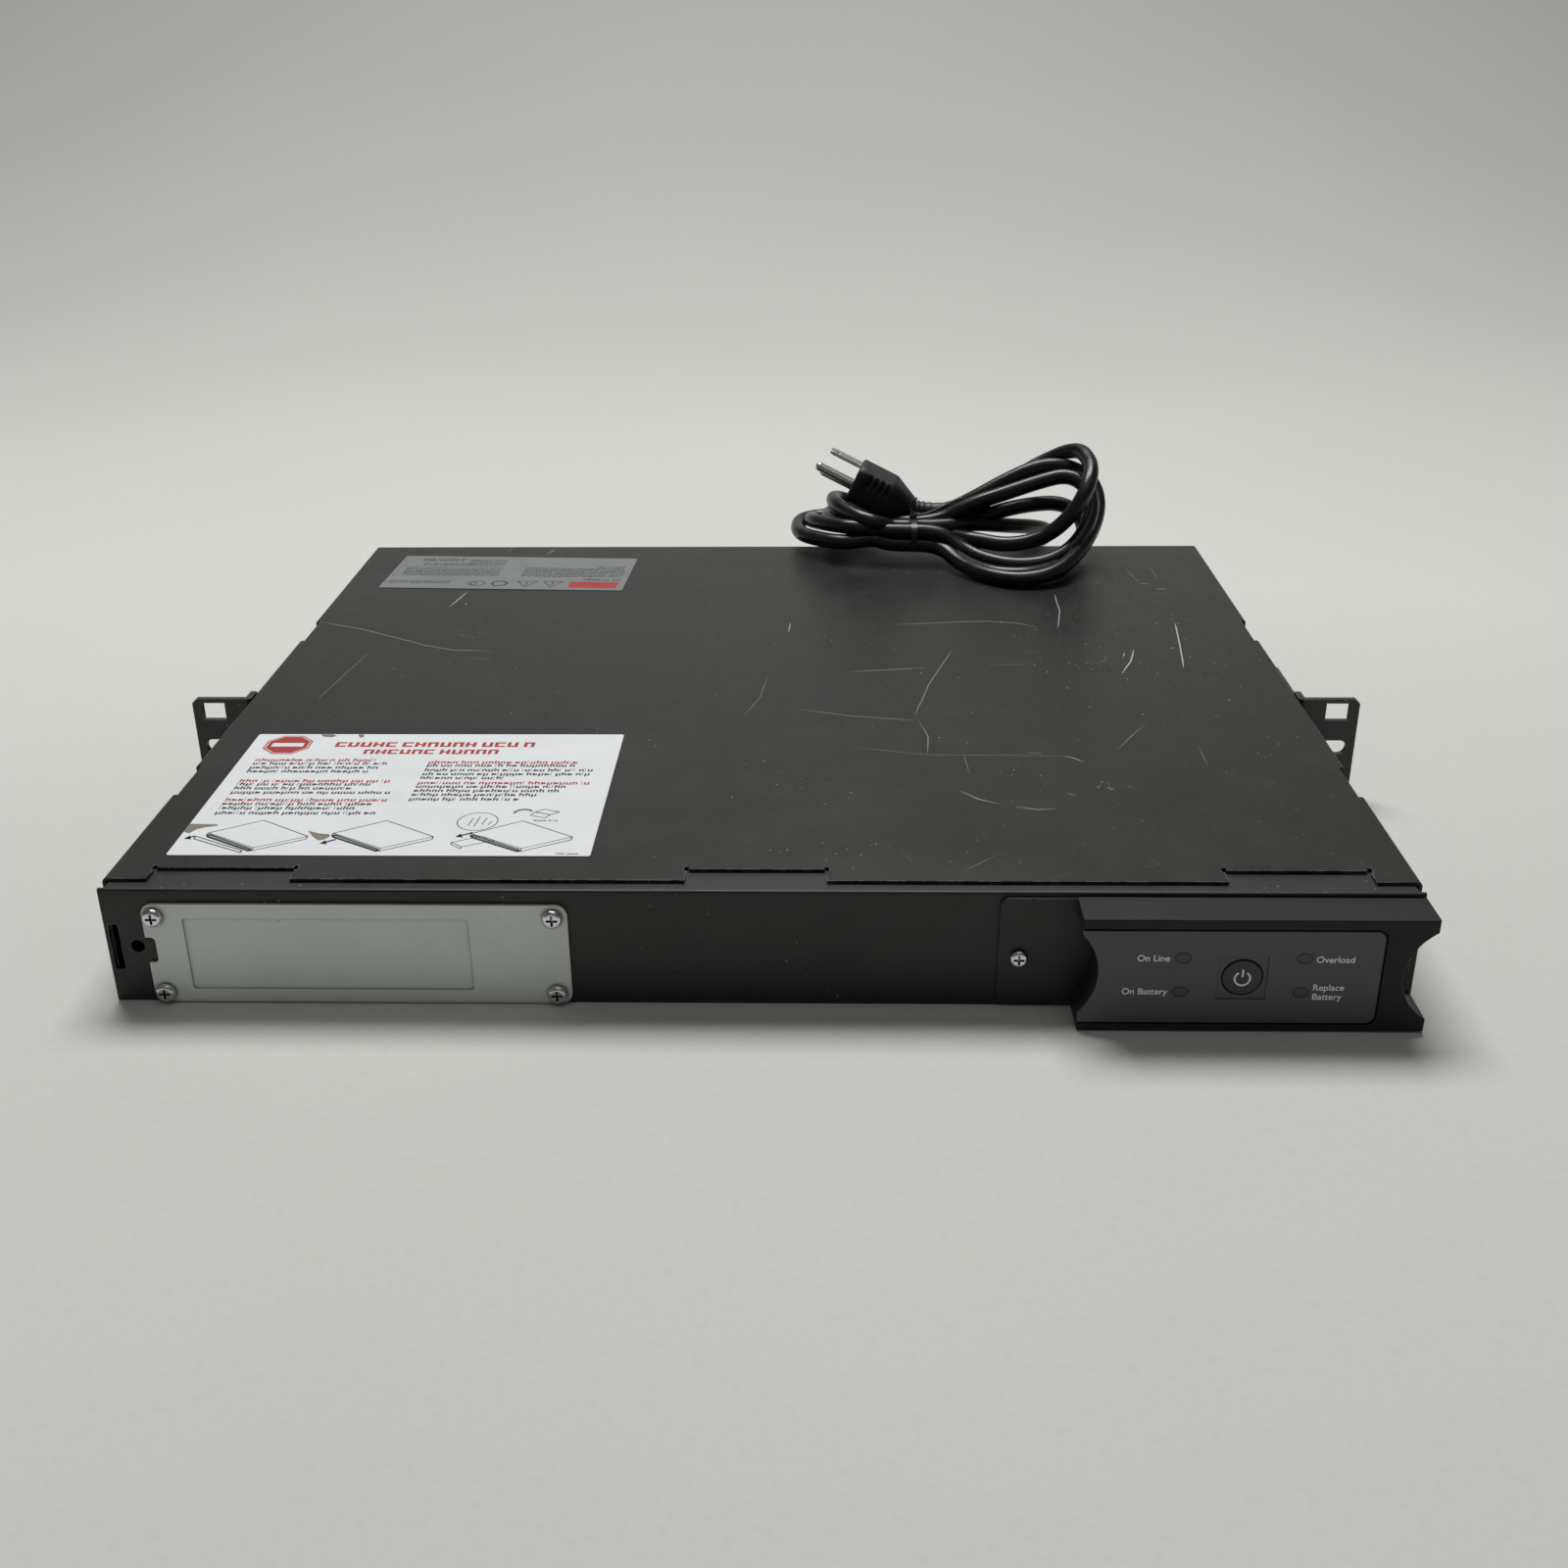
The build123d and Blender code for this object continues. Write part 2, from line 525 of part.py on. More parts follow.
def make_fan():
    x, z = FAN_XZ
    inner = REAR - SHEET
    frame = block(around(x, FAN_SIDE), (inner - FAN_DEPTH, inner), around(z, FAN_SIDE))
    frame = fillet(frame.edges().filter_by(Axis.Y), 2.5)
    frame -= deep_rod(18.4, FAN_XZ, (inner - FAN_DEPTH - 1, inner + 1))
    hub_seat = (inner - 2.0, inner)
    frame += deep_rod(9.5, FAN_XZ, hub_seat)
    for angle in (90, 210, 330):
        arm = block((8.0, 18.8), hub_seat, (-1.2, 1.2))
        frame += Pos(x, 0, z) * Rot(0, angle, 0) * arm
    frame += deep_rod(3.0, FAN_XZ, (inner - 13.0, inner - 2.0))
    frame -= [deep_rod(1.5, xz, (inner - 12, inner + 1)) for xz in fan_corners()]
    keep("fan_frame", frame)

    hub_y = (inner - 18.0, inner - 2.6)
    rotor = deep_rod(10.0, FAN_XZ, hub_y)
    for i in range(FAN_BLADES):
        blade = Rot(30, 0, 0) * block((9.4, 17.6), around(0, 15.5), around(0, 1.0))
        turned = Rot(0, 360 / FAN_BLADES * i, 0) * blade
        rotor += Pos(x, sum(hub_y) / 2, z) * turned
    rotor -= deep_rod(3.05, FAN_XZ, (inner - 13.2, inner))
    keep("fan_rotor", rotor)

    guard = [Circle(radius + 0.8) - Circle(radius - 0.8) for radius in (7.0, 12.5, 18.0)]
    guard += [Rot(0, 0, angle) * Rectangle(39.0, 1.6) for angle in (45, 135)]
    guard += [Pos(cx - x, cz - z) * Circle(3.2) for cx, cz in fan_corners()]
    flat = Sketch() + guard
    flat -= [Pos(cx - x, cz - z) * Circle(1.6) for cx, cz in fan_corners()]
    keep("fan_guard", forward(Pos(x, z) * flat, REAR + 1.2, REAR))
    screw = pan_screw(2.9, 0.75, 1.4, 9.0)
    places = [(cx, REAR + 1.2, cz) for cx, cz in fan_corners()]
    keep("fan_screws", *screws(screw, places, (0, 1, 0)))


def make_outlet(name, x):
    z = 21.5
    proud = (REAR, REAR + REAR_PROUD)
    bezel = block(around(x, OUTLET_FACE[0]), proud, around(z, OUTLET_FACE[1]))
    bezel = fillet(bezel.edges().filter_by(Axis.Y), 3.0)
    bezel = chamfer(bezel.faces().sort_by(Axis.Y)[-1].edges(), 0.6)
    body = block(around(x, OUTLET_BODY[0]), (REAR - 22, REAR), around(z, OUTLET_BODY[1]))
    outlet = bezel + body
    deep = (REAR - 14, REAR + 3)
    outlet -= block(around(x - 6.35, 2.0), deep, around(z + 5.0, 8.4))
    outlet -= block(around(x + 6.35, 2.0), deep, around(z + 5.0, 7.0))
    ground = deep_rod(2.7, (x, z - 6.9), deep) + block(around(x, 5.4), deep, (z - 9.6, z - 6.9))
    outlet -= ground
    keep(name, outlet)


def make_rear_fittings():
    for number, x in enumerate(OUTLET_X, 1):
        make_outlet(f"outlet_{number}", x)

    bx, bz = BREAKER_XZ
    breaker = block(around(bx, 17.0), (REAR - 30, REAR - SHEET), around(bz, 28.0))
    breaker += deep_rod(5.5, BREAKER_XZ, (REAR - SHEET, REAR + REAR_PROUD))
    breaker -= deep_rod(3.7, BREAKER_XZ, (REAR - 12, REAR + 3))
    keep("breaker_body", breaker)
    nut = forward(Pos(bx, bz) * RegularPolygon(8.6, 6), REAR + 1.6, REAR)
    keep("breaker_nut", nut - deep_rod(5.6, BREAKER_XZ, (REAR - 1, REAR + 3)))
    button = deep_rod(3.4, BREAKER_XZ, (REAR - 8, REAR + 1.9))
    keep("breaker_button", fillet(button.edges().sort_by(Axis.Y)[-1], 0.8))

    sx, sz = SERIAL_XZ
    trapezium = make_face(Polyline((-8.6, 4.2), (8.6, 4.2), (7.4, -4.2), (-7.4, -4.2), close=True))
    trapezium = fillet(trapezium.vertices(), 1.4)
    insert = forward(Pos(sx, sz) * trapezium, REAR + 1.6, REAR - 10)
    for row, count in ((1.4, 5), (-1.4, 4)):
        for i in range(count):
            pin_x = sx + 2.76 * (i - (count - 1) / 2)
            insert -= deep_rod(0.6, (pin_x, sz + row), (REAR - 5, REAR + 3))
    keep("serial_port", insert)
    flange = block(around(sx, 31.0), (REAR - SHEET - 1.0, REAR - SHEET), around(sz, 12.5))
    shell = forward(Pos(sx, sz) * offset(trapezium, 0.5), REAR + REAR_PROUD, REAR - SHEET - 1.0)
    shell += flange
    shell -= forward(Pos(sx, sz) * trapezium, REAR + 3, REAR - 4)
    posts = []
    for dx in (-12.5, 12.5):
        shell -= deep_rod(1.5, (sx + dx, sz), (REAR - 4, REAR + 3))
        hexagon = Pos(sx + dx, sz) * RegularPolygon(2.4, 6)
        post = forward(hexagon, REAR + REAR_PROUD, REAR - SHEET)
        posts.append(post - deep_rod(1.2, (sx + dx, sz), (REAR - 1, REAR + 3)))
    keep("serial_shell", shell, *posts)

    jacks = []
    for x in JACK_X:
        jack = block(around(x, 16.0), (REAR - 14, REAR + 0.6), around(JACK_Z, 14.0))
        jack -= block(around(x, 11.8), (REAR - 11, REAR + 1), (JACK_Z - 3.0, JACK_Z + 4.2))
        jack -= block(around(x, 6.2), (REAR - 11, REAR + 1), (JACK_Z - 5.2, JACK_Z - 2.9))
        jacks.append(jack)
    keep("network_jacks", *jacks)


# ---- Labels on the cover ------------------------------------------------------------------
def make_labels():
    top = (CASE_HEIGHT, CASE_HEIGHT + LABEL_SHEET)
    instruction = block(INSTRUCTIONS_X, INSTRUCTIONS_Y, top)
    keep("instruction_label", fillet(instruction.edges().filter_by(Axis.Z), 1.0))
    ratings = Pos(*RATINGS_CENTRE) * (Rot(0, 0, RATINGS_TURN) * RectangleRounded(*RATINGS_SIZE, 1.2))
    keep("ratings_label", Pos(0, 0, CASE_HEIGHT) * extrude(ratings, amount=LABEL_SHEET))


# ---- Mains lead ---------------------------------------------------------------------------
# Route of the lead from its strain relief to the tied hank on the rear of the cover.
LEAD_ROUTE = (
    (36.0, 415.0, 22.0), (36.0, 432.0, 21.5), (39.0, 450.0, 18.0), (48.0, 468.0, 12.5),
    (65.0, 480.0, 8.0), (87.0, 483.0, 5.5), (109.0, 477.0, 7.5), (127.0, 463.0, 15.0),
    (140.0, 445.0, 25.5), (145.0, 425.0, 36.5), (141.5, 405.5, 45.5), (131.0, 390.0, 51.5),
    (116.0, 379.5, 55.0),
)
# Sections of the hank's outer shape: x, then centre and half size in y and z, then its tilt.
HANK_SECTIONS = (
    (4.0, 385.0, 53.5, 13.0, 5.0, 0.0),
    (26.0, 386.0, 58.5, 29.0, 12.0, -12.0),
    (46.0, 375.0, 57.5, 25.0, 12.0, -6.0),
    (65.5, 363.0, 57.0, 16.0, 7.3, 0.0),
    (68.5, 363.0, 57.0, 16.0, 7.3, 0.0),
    (90.0, 356.0, 58.5, 23.0, 13.0, 18.0),
    (112.0, 345.0, 63.0, 44.0, 15.0, 25.0),
    (131.0, 347.0, 69.0, 46.0, 19.0, 28.0),
    (148.0, 357.0, 73.0, 34.0, 20.0, 35.0),
    (163.0, 367.0, 71.0, 14.0, 10.0, 35.0),
)


def arc_radii(points):
    """Radius of each corner: 0.45 of its shorter run over the tangent of half its turn."""
    radii = []
    for before, here, after in zip(points, points[1:], points[2:]):
        run_in = Vector(*here) - Vector(*before)
        run_out = Vector(*after) - Vector(*here)
        turn = math.radians(run_in.get_angle(run_out))
        radii.append(0.45 * min(run_in.length, run_out.length) / math.tan(turn / 2))
    return radii


def make_gland():
    """Strain relief: flange, body through the panel and a tapered, notched boot."""
    gx, gz = GLAND_XZ
    gland = deep_rod(10.5, GLAND_XZ, (REAR, REAR + 3.0)) + deep_rod(8.8, GLAND_XZ, (REAR - 14, REAR))
    foot = Plane(origin=(gx, REAR + 3.0, gz), x_dir=(1, 0, 0), z_dir=(0, 1, 0))
    gland += foot * Cone(8.0, 5.2, 32.0, align=(Align.CENTER, Align.CENTER, Align.MIN))
    for i in range(6):
        y = REAR + 8.0 + 4.5 * i
        notch = deep_rod(9.0, GLAND_XZ, (y, y + 1.6)) - deep_rod(4.6, GLAND_XZ, (y - 1, y + 3))
        web = (20.0, 4.0) if i % 2 else (4.0, 20.0)
        gland -= notch - block(around(gx, web[0]), (y - 1, y + 3), around(gz, web[1]))
    keep("cord_gland", gland)


def make_cord():
    path = FilletPolyline(*LEAD_ROUTE, radius=arc_radii(LEAD_ROUTE))
    section = Plane(origin=path @ 0, z_dir=path % 0) * Circle(CORD_DIAMETER / 2)
    keep("power_cord", sweep(section, path=path))


def make_plug():
    """Moulded plug. Its own z runs out of the nose and its x from the earth pin to the blades."""
    nose = Plane(origin=PLUG_NOSE, x_dir=Vector(*PLUG_UP), z_dir=Vector(*PLUG_DIRECTION))
    body = extrude(RectangleRounded(*PLUG_FACE, PLUG_CORNER), amount=-PLUG_BODY_LENGTH)
    neck = loft([
        Pos(0, 0, -PLUG_BODY_LENGTH) * RectangleRounded(*PLUG_FACE, PLUG_CORNER),
        Pos(0, 0, -PLUG_NECK_END) * RectangleRounded(*PLUG_NECK, PLUG_CORNER),
    ])
    foot = nose.from_local_coords(Vector(0, 0, 2 - PLUG_NECK_END))
    boot = Plane(origin=foot, z_dir=BOOT_DIRECTION) * Cone(
        5.2, 4.4, BOOT_LENGTH, align=(Align.CENTER, Align.CENTER, Align.MIN)
    )
    plug = nose * (body + neck) + boot
    keep("cord_plug", plug)

    pin = Cylinder(2.4, PIN_LENGTH, align=(Align.CENTER, Align.CENTER, Align.MIN))
    pins = [Pos(-EARTH_OFFSET, 0, 0) * fillet(pin.edges().sort_by(Axis.Z)[-1], 1.8)]
    for y in around(0, BLADE_PITCH):
        blade = Pos(EARTH_OFFSET, y, BLADE[2] / 2) * Box(*BLADE)
        blade = chamfer(blade.edges().filter_by(Axis.Y).group_by(Axis.Z)[-1], 1.2)
        hole = Pos(EARTH_OFFSET, y, BLADE[2] - 4.5) * Rot(90, 0, 0) * Cylinder(1.5, 5)
        pins.append(blade - hole)
    keep("plug_pins", *[nose * pin for pin in pins])
    return plug


def make_hank(plug):
    """Outer shape of the tied hank on the cover, and the band of its tie."""
    above_cover = block((-50, 250), (250, 500), (CASE_HEIGHT + 0.1, 150))
    rings = []
    for x, y, z, half_y, half_z, tilt in HANK_SECTIONS:
        ring = Plane(origin=(x, y, z), x_dir=(0, 1, 0), z_dir=(1, 0, 0))
        rings.append(ring * (Rot(0, 0, tilt) * Ellipse(half_y, half_z)))
    keep("cord_hank", (loft(rings, ruled=True) & above_cover) - plug)
    waist = Plane(origin=HANK_WAIST, x_dir=(0, 1, 0), z_dir=(1, 0, 0))
    inside = RectangleRounded(*TIE_OPENING, 5.4)
    band = extrude(waist * (offset(inside, TIE_SHEET) - inside), amount=TIE_WIDTH / 2, both=True)
    keep("cord_tie", (band & above_cover) - plug)


make_case()
make_side_screws()
make_rear_panel()
make_bay_wall()
make_ear("rack_ear_left", -1)
make_ear("rack_ear_right", 1)
make_door()
make_battery()
make_display()
make_electronics()
make_wires()
make_fan()
make_rear_fittings()
make_labels()
make_gland()
make_cord()
make_hank(make_plug())

os.makedirs("parts", exist_ok=True)
for name, shape in nodes.items():
    export_step(Pos(0, ORIGIN_SHIFT, 0) * shape, f"parts/{name}.step")
print(len(nodes), "nodes")
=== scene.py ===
import math
import random

import bmesh
import bpy
from mathutils import Matrix, Vector


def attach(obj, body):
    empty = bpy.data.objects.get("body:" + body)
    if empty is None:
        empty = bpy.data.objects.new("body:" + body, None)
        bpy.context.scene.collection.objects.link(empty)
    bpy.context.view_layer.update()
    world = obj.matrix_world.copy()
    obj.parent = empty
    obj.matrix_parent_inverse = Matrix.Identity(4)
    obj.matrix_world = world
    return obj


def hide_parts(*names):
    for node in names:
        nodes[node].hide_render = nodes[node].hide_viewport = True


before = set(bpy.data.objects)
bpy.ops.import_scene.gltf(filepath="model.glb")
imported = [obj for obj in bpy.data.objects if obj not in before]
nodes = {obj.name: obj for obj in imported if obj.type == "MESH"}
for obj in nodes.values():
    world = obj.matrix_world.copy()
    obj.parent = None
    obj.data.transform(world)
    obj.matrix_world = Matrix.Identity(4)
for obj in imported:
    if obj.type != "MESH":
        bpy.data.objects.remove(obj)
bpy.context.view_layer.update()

# Rack-mount uninterruptible power supply. Places are written in millimetres from the middle
# of the chassis's front face, at its base, as in the part's source: x to the right, y back,
# z up. at() turns them into metres in the row frame.
FRONT_FACE = -0.183
CASE_TOP = 43.7


def at(x, y, z):
    """Point of the row frame, in metres."""
    return Vector((x * 0.001, y * 0.001 + FRONT_FACE, z * 0.001))


# ---- Node materials -----------------------------------------------------------------------
BEVEL_SAMPLES = 6
CREASE_SHADE_SAMPLES = 8
CREASE_SHADE_REACH = 0.0016                  # metres: how far the painted shade of a crease reaches
EDGE_ROUNDING = 0.0003                  # metres: radius that sharp edges are rounded to the eye
METAL_ROUNDING = 0.0002
CHIPPED_EDGE = 0.0005                   # metres: how far paint chips off beside an edge
DUST_GREY = (0.30, 0.29, 0.27)
LEAD_DUST = (0.22, 0.21, 0.20)
BARE_STEEL = (0.42, 0.42, 0.41)
BARE_DOOR = (0.55, 0.55, 0.54)


class Finish:
    """Procedural material that is being built round one Principled surface."""

    def __init__(self, name, roughness, metallic=0.0, **fixed):
        self.material = bpy.data.materials.new(name)
        self.material.use_nodes = True
        self.tree = self.material.node_tree
        self.surface = self.tree.nodes["Principled BSDF"]
        self.place = self.add("ShaderNodeTexCoord").outputs["Object"]
        self.surface.inputs["Roughness"].default_value = roughness
        self.surface.inputs["Metallic"].default_value = metallic
        for socket, value in fixed.items():
            self.surface.inputs[socket.replace("_", " ")].default_value = value

    def add(self, kind, inputs=None, **settings):
        """New node with some inputs linked or set."""
        made = self.tree.nodes.new(kind)
        for name, value in settings.items():
            setattr(made, name, value)
        for key, value in (inputs or {}).items():
            if isinstance(value, bpy.types.NodeSocket):
                self.tree.links.new(value, made.inputs[key])
            else:
                made.inputs[key].default_value = value
        return made

    def noise(self, scale, detail=3.0, roughness=0.55, stretch=(1, 1, 1)):
        """Noise with features about 1 / scale metres across."""
        place = self.add("ShaderNodeMapping", {"Vector": self.place, "Scale": stretch}).outputs[0]
        inputs = {"Vector": place, "Scale": scale, "Detail": detail, "Roughness": roughness}
        return self.add("ShaderNodeTexNoise", inputs).outputs[0]

    def spots(self, scale, size):
        """Small round specks: 1 inside a speck."""
        cells = self.add("ShaderNodeTexVoronoi", {"Vector": self.place, "Scale": scale})
        return self.span(cells.outputs["Distance"], size, size * 0.4, 0.0, 1.0)

    def span(self, value, low, high, to_low=0.0, to_high=1.0):
        """Clamped remapping of a value."""
        inputs = {0: value, 1: low, 2: high, 3: to_low, 4: to_high}
        return self.add("ShaderNodeMapRange", inputs, clamp=True).outputs[0]

    def multiply(self, first, second):
        return self.add("ShaderNodeMath", {0: first, 1: second}, operation="MULTIPLY").outputs[0]

    def mix(self, factor, first, second):
        """Colour mix. Colours are three linear numbers or sockets."""
        inputs = {0: factor}
        for socket, value in ((6, first), (7, second)):
            inputs[socket] = value if isinstance(value, bpy.types.NodeSocket) else (*value, 1.0)
        return self.add("ShaderNodeMix", inputs, data_type="RGBA").outputs[2]

    def rounded_normal(self, radius):
        return self.add("ShaderNodeBevel", {"Radius": radius}, samples=BEVEL_SAMPLES).outputs[0]

    def edges(self, radius):
        """1 on sharp outer edges within about a radius of them."""
        soft = self.rounded_normal(radius)
        true = self.add("ShaderNodeNewGeometry").outputs["True Normal"]
        facing = self.add("ShaderNodeVectorMath", {0: soft, 1: true}, operation="DOT_PRODUCT")
        return self.span(facing.outputs["Value"], 0.97, 0.80)

    def painted_crease_shade(self, strength):
        """Painted shade: rises to a strength in inner corners and narrow slots, where ambient occlusion
        finds them.
        """
        inputs = {"Distance": CREASE_SHADE_REACH}
        shelter = self.add("ShaderNodeAmbientOcclusion", inputs, samples=CREASE_SHADE_SAMPLES)
        return self.span(shelter.outputs["AO"], 0.35, 0.95, strength, 0.0)

    def colour(self, value):
        self.tree.links.new(value, self.surface.inputs["Base Color"])

    def gloss(self, value, low, high):
        """Roughness that follows a value from low to high."""
        self.tree.links.new(self.span(value, 0.25, 0.75, low, high), self.surface.inputs["Roughness"])

    def relief(self, height, distance, rounding=0.0):
        """Bump, over edges that are rounded to the eye by a radius."""
        inputs = {"Height": height, "Distance": distance, "Strength": 1.0}
        if rounding:
            inputs["Normal"] = self.rounded_normal(rounding)
        bump = self.add("ShaderNodeBump", inputs)
        self.tree.links.new(bump.outputs[0], self.surface.inputs["Normal"])


def shade(colour, factor):
    return tuple(channel * factor for channel in colour)


def srgb(red, green, blue):
    """Linear colour of an 8-bit display colour."""
    def linear(value):
        value /= 255
        return value / 12.92 if value <= 0.04045 else ((value + 0.055) / 1.055) ** 2.4
    return tuple(linear(value) for value in (red, green, blue))


def paint(name, colour, roughness, wear, bare=BARE_STEEL, dust=0.05, grain=0.00005, crease_shade=0.0,
          sparkle=0.35, **fixed):
    """Baked paint on sheet metal: fine grain, uneven sheen, dust and chipped edges, with painted shade
    darkening its creases.
    """
    finish = Finish(name, roughness, **fixed)
    broad = finish.noise(14, 4)
    fine = finish.noise(900, 2)
    base = finish.mix(finish.span(broad, 0.3, 0.7), shade(colour, 0.93), shade(colour, 1.07))
    base = finish.mix(finish.span(fine, 0.35, 0.7, 0, sparkle), base, shade(colour, 1.35))
    film = finish.span(finish.noise(45, 5, 0.7), 0.52, 0.85, 0, dust)
    base = finish.mix(film, base, DUST_GREY)
    specks = finish.multiply(finish.spots(230, 0.13), finish.span(finish.noise(24), 0.50, 0.66))
    base = finish.mix(finish.multiply(specks, 0.7), base, DUST_GREY)
    worn = finish.span(finish.noise(160, 4, 0.7), 0.75 - wear, 0.85 - wear)
    base = finish.mix(finish.multiply(finish.edges(CHIPPED_EDGE), worn), base, bare)
    # Painted shade: creases and recesses darkened towards a quarter of the paint's colour.
    if crease_shade:
        base = finish.mix(finish.painted_crease_shade(crease_shade), base, shade(colour, 0.25))
    finish.colour(base)
    finish.gloss(finish.noise(22, 5, 0.65), roughness - 0.07, roughness + 0.10)
    finish.relief(fine, grain, EDGE_ROUNDING)
    return finish.material


def plastic(name, colour, roughness, grain=0.00004, scale=1500, **fixed):
    """Moulded plastic with a fine spark-eroded grain."""
    finish = Finish(name, roughness, **fixed)
    fine = finish.noise(scale, 2)
    base = finish.mix(finish.noise(28, 4), shade(colour, 0.94), shade(colour, 1.06))
    base = finish.mix(finish.span(fine, 0.4, 0.75, 0, 0.3), base, shade(colour, 1.4))
    finish.colour(base)
    finish.gloss(finish.noise(40, 4), roughness - 0.06, roughness + 0.08)
    finish.relief(fine, grain, EDGE_ROUNDING)
    return finish.material


def metal(name, colour, roughness, brushed=None, tarnish=0.25, crease_shade=0.0):
    """Bare or plated metal, brushed along an axis or softly mottled."""
    finish = Finish(name, roughness, 1.0)
    lines = finish.noise(1200 if brushed else 350, 3, 0.6, brushed or (1, 1, 1))
    base = finish.mix(finish.span(lines, 0.3, 0.7), shade(colour, 0.86), colour)
    dull = finish.span(finish.noise(120, 5, 0.7), 0.5, 0.8, 0, tarnish)
    base = finish.mix(dull, base, shade(colour, 0.45))
    # Painted shade: hollows, such as cross recesses, darkened almost to black.
    if crease_shade:
        base = finish.mix(finish.painted_crease_shade(crease_shade), base, shade(colour, 0.06))
    finish.colour(base)
    finish.gloss(finish.noise(90, 4), roughness - 0.06, roughness + 0.12)
    finish.relief(lines, 0.00002, METAL_ROUNDING)
    return finish.material


def print_ink(name, colour):
    """Ink that has worn a little thin."""
    finish = Finish(name, 0.5)
    thin = finish.span(finish.noise(700, 4, 0.7), 0.45, 0.8, 0, 0.35)
    finish.colour(finish.mix(thin, colour, shade(colour, 0.6)))
    return finish.material


def rubber(name, colour, roughness):
    """Soft black sheath: satin, with faint dust and drag marks."""
    finish = Finish(name, roughness)
    base = finish.mix(finish.noise(60, 4), shade(colour, 0.85), shade(colour, 1.2))
    dust = finish.span(finish.noise(240, 5, 0.75), 0.55, 0.9, 0, 0.10)
    finish.colour(finish.mix(dust, base, LEAD_DUST))
    finish.gloss(finish.noise(150, 4), roughness - 0.08, roughness + 0.10)
    finish.relief(finish.noise(900, 3), 0.00003)
    return finish.material


def label_stock(name, metallic, clean, stained, stains, sheen, relief):
    """Printed film. stains is their noise's scale, where they start, and how strong they get,
    sheen is its noise's scale and its two roughnesses, and relief its noise's scale and depth."""
    scale, low, most = stains
    gloss_scale, glossy, dull = sheen
    finish = Finish(name, glossy, metallic)
    stain = finish.span(finish.noise(scale, 5, 0.7), low, 0.85, 0, most)
    finish.colour(finish.mix(stain, clean, stained))
    finish.gloss(finish.noise(gloss_scale), glossy, dull)
    finish.relief(finish.noise(relief[0], 2), relief[1])
    return finish.material


def circuit_board(name):
    """Green solder mask over raised tracks."""
    finish = Finish(name, 0.35)
    tracks = finish.span(finish.noise(260, 2, 0.5, (1, 0.3, 1)), 0.48, 0.52)
    finish.colour(finish.mix(tracks, (0.010, 0.075, 0.028), (0.018, 0.13, 0.045)))
    finish.relief(tracks, 0.00003)
    return finish.material


cover_paint = paint("cover_paint", srgb(34, 34, 33), 0.33, 0.30, dust=0.03, Specular_IOR_Level=0.30)
panel_paint = paint("panel_paint", srgb(34, 35, 35), 0.42, 0.22, dust=0.03, Specular_IOR_Level=0.38)
ear_paint = paint("ear_paint", srgb(36, 37, 37), 0.42, 0.28)
# The door's pressed recess gets painted shade along its outline.
door_paint = paint("door_paint", srgb(218, 225, 218), 0.40, 0.12, BARE_DOOR,
                   dust=0.06, grain=0.00002, crease_shade=0.9, sparkle=0.08)
housing_plastic = plastic("housing_plastic", srgb(36, 37, 37), 0.50, Specular_IOR_Level=0.2)
overlay_plastic = plastic("overlay_plastic", srgb(74, 75, 76), 0.42, grain=0.00002, scale=2400)
button_plastic = plastic("button_plastic", srgb(38, 39, 40), 0.36, grain=0.00001)
black_plastic = plastic("black_plastic", srgb(26, 26, 27), 0.40)
grey_plastic = plastic("grey_plastic", srgb(120, 122, 122), 0.45)
white_plastic = plastic("white_plastic", srgb(214, 212, 204), 0.40)
cell_plastic = plastic("cell_plastic", srgb(58, 60, 64), 0.55, grain=0.00006, scale=1100)
lens_plastic = plastic("lens_plastic", srgb(50, 52, 52), 0.18, grain=0.000005)
# The screws' cross recesses get painted shade.
screw_plate = metal("screw_plate", (0.74, 0.76, 0.78), 0.17, crease_shade=0.95)
dark_screw = metal("dark_screw", (0.055, 0.055, 0.055), 0.42)
zinc = metal("zinc", (0.66, 0.67, 0.68), 0.34)
tin = metal("tin", (0.80, 0.79, 0.76), 0.22, brushed=(0.05, 1, 1))
aluminium = metal("aluminium", (0.70, 0.71, 0.72), 0.30, brushed=(1, 1, 0.04))
laminations = metal("laminations", (0.20, 0.19, 0.18), 0.42, brushed=(0.03, 1, 0.03), tarnish=0.6)
copper = metal("copper", (0.72, 0.33, 0.16), 0.30, brushed=(1, 0.05, 1))
nickel = metal("nickel", (0.80, 0.79, 0.76), 0.20)

cord_sheath = rubber("cord_sheath", srgb(13, 14, 16), 0.30)
plug_rubber = rubber("plug_rubber", srgb(26, 27, 30), 0.45)
tie_nylon = rubber("tie_nylon", srgb(40, 40, 43), 0.26)

# Labels, board, inks, films and sleeves.
label_white = label_stock("label_white", 0.0, srgb(226, 229, 230), srgb(190, 190, 184),
                          (35, 0.5, 0.22), (60, 0.32, 0.50), (220, 0.00002))
label_grey = label_stock("label_grey", 0.15, srgb(124, 129, 128), srgb(92, 96, 94),
                         (60, 0.45, 0.4), (80, 0.28, 0.45), (500, 0.00001))
board_mask = circuit_board("board_mask")

red_ink = print_ink("red_ink", srgb(166, 34, 29))
black_ink = print_ink("black_ink", srgb(22, 22, 24))
white_ink = print_ink("white_ink", srgb(244, 246, 245))
bright_mark = print_ink("bright_mark", srgb(176, 176, 172))
faint_mark = print_ink("faint_mark", srgb(112, 112, 107))
tear_brown = print_ink("tear_brown", srgb(126, 116, 100))
wrap_film = plastic("wrap_film", srgb(206, 198, 150), 0.30, grain=0.00002, scale=400)
red_sleeve = plastic("red_sleeve", srgb(150, 26, 24), 0.40)
can_sleeve = plastic("can_sleeve", srgb(28, 44, 96), 0.30, grain=0.00001)
relay_blue = plastic("relay_blue", srgb(30, 70, 150), 0.35, grain=0.00001)
led_resin = plastic("led_resin", srgb(150, 168, 120), 0.20, grain=0.00001)

